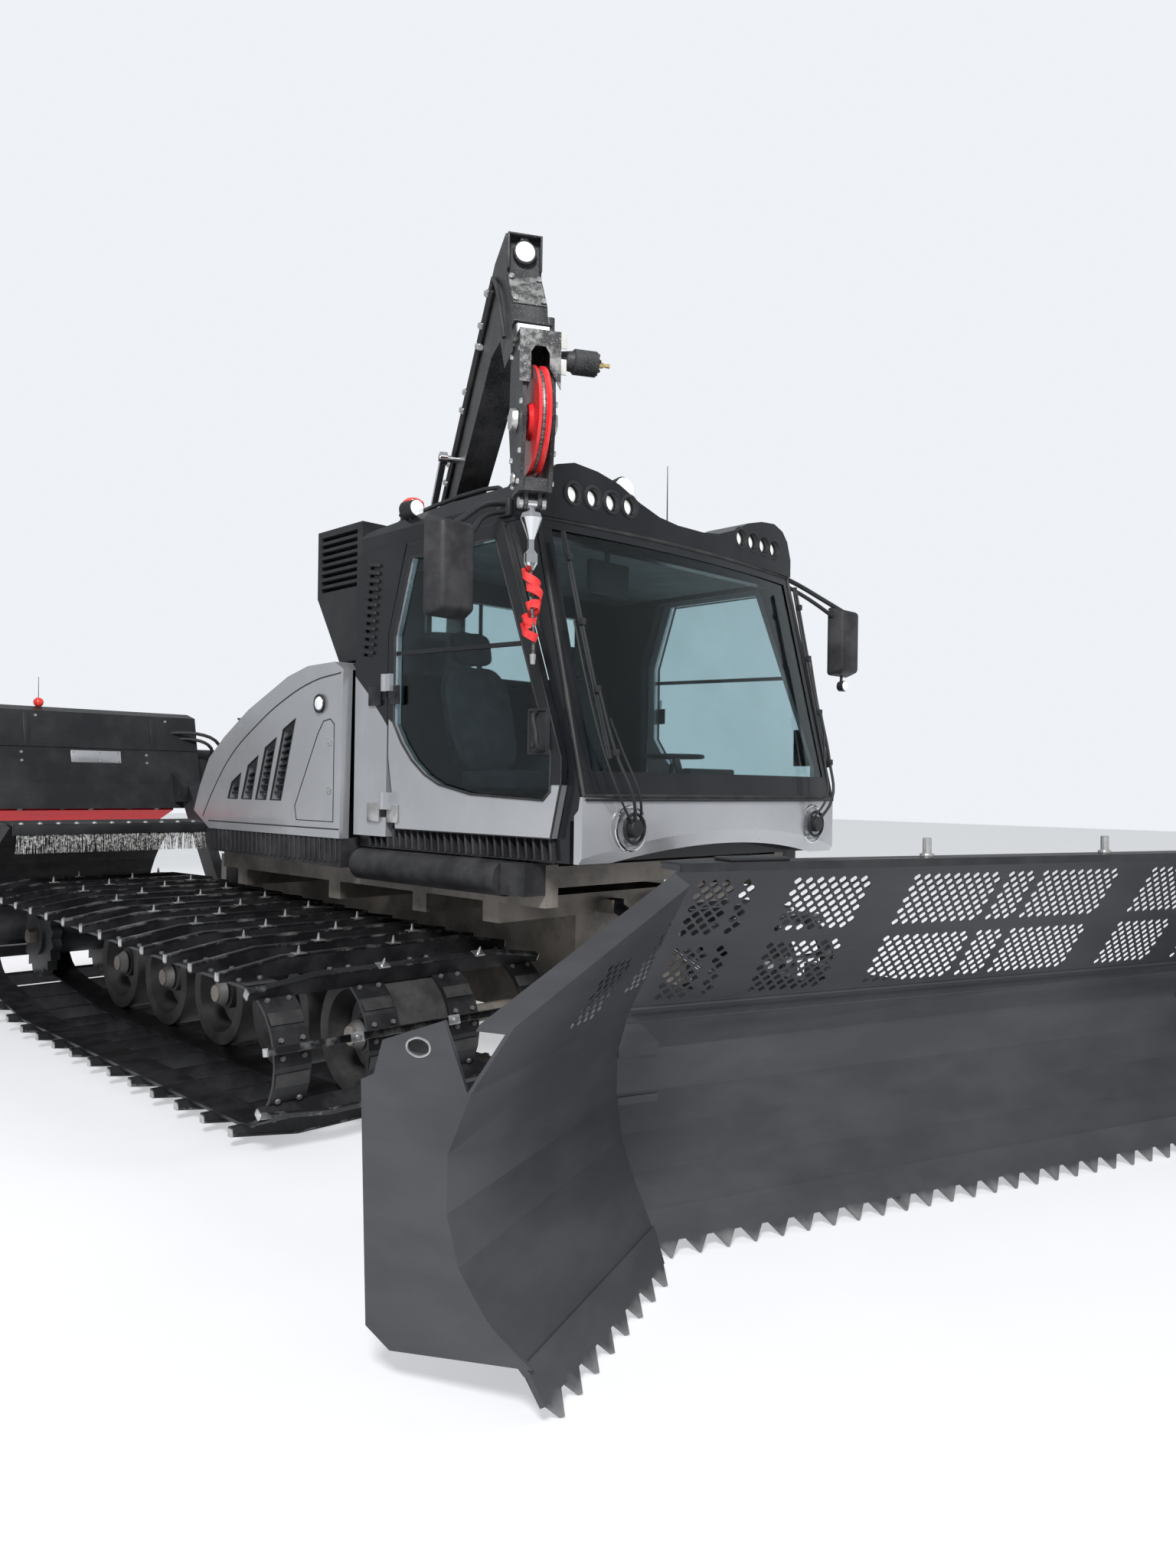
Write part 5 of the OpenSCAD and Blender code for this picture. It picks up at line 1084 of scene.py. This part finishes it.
shield = plate([(-0.088, 3.445), (-0.088, 3.225), (-0.040, 3.225), (-0.040, 3.350), (-0.022, 3.378), (0.022, 3.378),
                (0.040, 3.350), (0.040, 3.290), (0.088, 3.205), (0.088, 3.445)], 2.770, 2.776)
shield.data.transform(spin(-90))
cap = block((-0.088, -2.776, 3.440), (0.088, -2.612, 3.446), 0.001)
dress("head_shields", [face, shield, cap], ("steel", chipped), "boom", turned=TURRET)
# This lens glows with the same painted highlight.
dress("boom_lamp_lens", bar((0, -2.461, LAMP_Z), (0, -2.468, LAMP_Z), 0.045, 0.038, 32, 0.002),
      PAINTED_GLINT, "boom", turned=TURRET)
panel = block((-0.070, -2.6425, 3.462), (0.070, -2.6385, 3.518), 0.001)
leds = repeated(bar((0, -2.641, 0), (0, -2.6455, 0), 0.0075, 0.006, 10, 0),
                [move(-0.063 + 0.014 * c, 0, 3.474 + 0.016 * r) for c in range(10) for r in range(3)])
dress("light_bar_face", [panel, leds], LAMP, "boom", turned=TURRET)
flags = [block((0.116, -2.578, 3.46), (0.168, -2.572, 3.53)), block((0.116, -2.578, 3.345), (0.165, -2.572, 3.415))]
dress("head_plates", flags, WHITE, "boom", turned=TURRET)
plug = [on_motor(0.325, 0.355, 0.016, 0.012), on_motor(0.353, 0.385, 0.007, 0.010)]
dress("sensor_plug", plug, ("chrome", brass), "boom", turned=TURRET)

# %% Bolts, hoses and fittings of the boom
ARM_Y, ARM_LOW, ARM_HIGH, ARM_RUN, FACE_SLOPE = -0.060, 2.970, 3.975, 2.120, 0.6857


def arm_top(y):
    return ARM_LOW + (ARM_Y - y) * (ARM_HIGH - ARM_LOW) / ARM_RUN


def along_arm(x, ys, drop):
    """A hose line below the arm's top edge, whose last point goes into the arm before the turret's plates."""
    inside = -0.35
    run = [(x, y, arm_top(y) - drop) for y in ys]
    return pipe(run + [(math.copysign(0.068, x), inside, arm_top(inside) - drop)], 0.010)


head_bolts = ((-2.56, 3.40), (-2.72, 3.38), (-2.52, 3.15), (-2.75, 3.15), (-2.60, 2.83), (-2.70, 2.83), (-2.57, 2.95),
              (-2.73, 2.95))
front_tilt = math.degrees(math.atan2(0.120, 0.175))
places = [move(s * 0.080, y, arm_top(y) - 0.055) @ spin(s * 90, "Y") for s in (-1, 1)
          for y in np.linspace(-0.30, -2.15, 12)]
places += [move(s * 0.071, y, z) @ spin(s * 90, "Y") for s in (-1, 1) for y, z in head_bolts]
places += [move(x, -2.448 - (3.812 - z) * FACE_SLOPE - 0.010, z) @ spin(90 - front_tilt, "X") for x in (-0.062, 0.062)
           for z in (3.795, 3.66)]
dress("boom_bolts", bar((0, 0, 0), (0, 0, 0.010), 0.0135, 0.011, 6, 0), PLATED, "boom", places, TURRET)
hoses = [along_arm(x, (-2.20, -1.8, -1.4, -1.0, -0.6, -0.46), drop)
         for x, drop in ((-0.092, 0.085), (-0.094, 0.115), (-0.092, 0.145))]
hoses += [along_arm(0.092, (-2.30, -1.8, -1.3, -0.8, -0.46), 0.10),
          pipe([(-0.092, -2.20, arm_top(-2.20) - 0.085), (-0.10, -2.33, 3.80), (-0.10, -2.42, 3.66),
                (-0.092, -2.47, 3.52)], 0.010)]
dress("boom_hoses", hoses, RUBBER, "boom", turned=TURRET)
fitting = [bar((0, 0, -0.03), (0, 0, 0.03), 0.016, 0.016, 12, 0.002),
           bar((0, 0, 0.028), (0, 0, 0.045), 0.021, 0.019, 6, 0.001)]
lean = spin(-math.degrees(math.atan2(ARM_RUN, ARM_HIGH - ARM_LOW)), "X")
HOSE_X = {0.085: -0.095, 0.115: -0.097, 0.145: -0.095}
fitting_at = ((0.085, -2.12), (0.115, -1.98), (0.145, -1.90), (0.085, -1.55), (0.115, -1.47), (0.085, -1.05),
              (0.115, -0.95), (0.145, -0.66), (0.085, -0.60))
places = [move(HOSE_X[drop], y, arm_top(y) - drop) @ lean for drop, y in fitting_at]
dress("hose_fittings", fitting, PLATED, "boom", places, TURRET)

# %% [markdown]
# ## Tiller
# The cover over the milling drum is sheet steel with seams and bolts, and a white line along its lower edge.
# Its front skin has straps, a fold and a blank plate. Four hoses run to its motors, and a red ball on a stem
# marks it for the driver. The comb under it is a solid of its own, already red.

# %% Cover seams, bolts and edge line
DRUM_Y, DRUM_Z, COVER = 3.970, 1.500, 0.290
SEAM_XS = (0.62, 1.10, 1.60, 2.10)


def on_cover(angle, r=COVER):
    return DRUM_Y + r * math.cos(math.radians(angle)), DRUM_Z + r * math.sin(math.radians(angle))


seams = [side_line(x, [on_cover(a, COVER + 0.002) for a in range(-30, 151, 20)], 0.005, 1) for x in SEAM_XS]
seams += [pipe([(x, *on_cover(a, COVER + 0.001)) for x in (0.25, 1.4, 2.68)], 0.006, 1) for a in (-25, 140)]
dress("cover_ribs", seams, DARK, "tiller_head", BOTH)
places = [m @ move(x + dx, *on_cover(a)) @ spin(a - 90, "X") for x in SEAM_XS for dx in (-0.035, 0.035)
          for a in (-10, 35, 80, 125) for m in BOTH]
dress("cover_bolts", bar((0, 0, 0), (0, 0, 0.012), 0.013, 0.010, 6, 0), PLATED, "tiller_head", places)
white = pipe([(x, *on_cover(-34, COVER + 0.003)) for x in (0.24, 1.4, 2.69)], 0.007, 2)
dress("cover_edge_lines", white, WHITE, "tiller_head", BOTH)


SKIN_Y, SKIN_Z, SKIN_LEAN, SKIN_RUN = 3.680, 1.520, 12.2, 0.2162


def skin_place(x, z):
    """Matrix on the upright front skin: local -Y looks forwards and local Z runs up it."""
    return move(x, SKIN_Y + (z - SKIN_Z) * SKIN_RUN, z) @ spin(-SKIN_LEAN, "X")


# %% Straps, bolts and plate of the tiller's front skin
PLATE_X, PLATE_Z = -1.06, 1.732
strap = block((-0.022, -0.007, 0), (0.022, 0.001, 0.265), 0.003)
straps = repeated(strap, on_both([skin_place(x, 1.800) for x in (0.60, 1.56, 2.45)]))
fold = block((0.235, -0.008, -0.005), (2.665, 0.001, 0.005), 0.002)
fold.data.transform(skin_place(0, 1.802))
dress("skin_straps", [straps, repeated(fold, BOTH)], DARK, "tiller_head")
places = on_both([skin_place(x, z) for x in (0.665, 1.605, 2.50) for z in (1.690, 1.753)])
places += on_both([skin_place(x, 2.035) for x in (0.49, 1.49, 2.38)])
places += [skin_place(PLATE_X + dx, PLATE_Z + dz) @ move(0, -0.004, 0) @ Matrix.Scale(0.6, 4)
           for dx in (-0.17, 0.03, 0.17) for dz in (-0.034, 0.034)]
dress("skin_bolts", bar((0, 0.001, 0), (0, -0.010, 0), 0.014, 0.010, 8, 0), PLATED, "tiller_head", places)
blank = block((-0.19, -0.005, -0.048), (0.19, 0.001, 0.048), 0.002)
dress("blank_plate", blank, SILVER, "tiller_head", turned=skin_place(PLATE_X, PLATE_Z))

# %% Hoses and marker of the tiller
hose_runs = (((0.12, 3.80, 1.745), (0.13, 3.70, 1.83), (0.30, 3.74, 1.90), (0.52, 3.88, 1.84), (0.60, 3.95, 1.775)),
             ((0.07, 3.80, 1.745), (0.08, 3.66, 1.86), (0.32, 3.70, 1.95), (0.55, 3.90, 1.88), (0.60, 3.98, 1.79)))
hoses = [pipe([(s * x, y, z) for x, y, z in run], 0.014) for run in hose_runs for s in (-1, 1)]
dress("tiller_hoses", hoses, RUBBER, "tiller_head")
MARKER = (-1.42, 3.940)
stem = [bar((*MARKER, 2.098), (*MARKER, 2.140), 0.016, 0.012),
        bar((*MARKER, 2.140), (*MARKER, 2.340), 0.003, 0.002, 8, 0)]
dress("marker_stem", stem, DARK, "tiller_head")
dress("marker_ball", dome(0.037, 14, (*MARKER, 2.145)), ("red_paint", red_lens), "tiller_head", angle=60)

# %% [markdown]
# ## Floor, world and light
# A pale floor and an even sky, with three large soft lamps, light the machine as in a studio. The sky is white
# where the camera sees it, also through glass, and dimmer as a source of light, so black paint stays black.
# Two of the lamps only fill the shadows and are kept out of the reflections.

# %% Floor
clear()
bpy.ops.mesh.primitive_plane_add(size=90, location=(0, 0, -0.002))
floor = settle(bpy.context.object)
floor.name = "floor"
floor_finish = worn("pale_floor", (0.34, 0.343, 0.35), (0.36, 0.363, 0.37), 0.7, patch=0.3, grain=30, bump=0.05)
give(shader_of(floor_finish), Emission_Color=(0.95, 0.97, 1.0, 1), Emission_Strength=0.5)
floor.data.materials.append(floor_finish)

# %% World and lamps
world = bpy.data.worlds.new("studio")
bpy.context.scene.world = world
world.use_nodes = True
new, link = world.node_tree.nodes.new, world.node_tree.links.new
back = give(world.node_tree.nodes["Background"], Color=(0.86, 0.89, 0.93, 1))
path, seen = new("ShaderNodeLightPath"), new("ShaderNodeMath")
seen.operation = "MAXIMUM"
strength = give(new("ShaderNodeMapRange"), To_Min=0.5, To_Max=1.0)
link(path.outputs["Is Camera Ray"], seen.inputs[0])
link(path.outputs["Is Transmission Ray"], seen.inputs[1])
link(seen.outputs["Value"], strength.inputs["Value"])
link(strength.outputs["Result"], back.inputs["Strength"])


def softbox(name, place, aim, size, power, mirrored=False):
    light = bpy.data.lights.new(name, "AREA")
    light.shape, light.size, light.energy = "DISK", size, power
    lamp = linked(name, light)
    lamp.location = place
    lamp.rotation_mode = "QUATERNION"
    lamp.rotation_quaternion = (Vector(aim) - Vector(place)).to_track_quat("-Z", "Y")
    lamp.visible_glossy = lamp.visible_transmission = mirrored


softbox("key", (-8.0, -7.5, 9.5), (-0.3, -0.8, 1.0), 3.0, 1900, True)
softbox("fill", (7.5, -9.0, 6.0), (0, -1.0, 1.0), 5.0, 600)
softbox("rear", (3.0, 10.0, 7.0), (0, 2, 1.2), 4.0, 700)
print("world and three lamps")
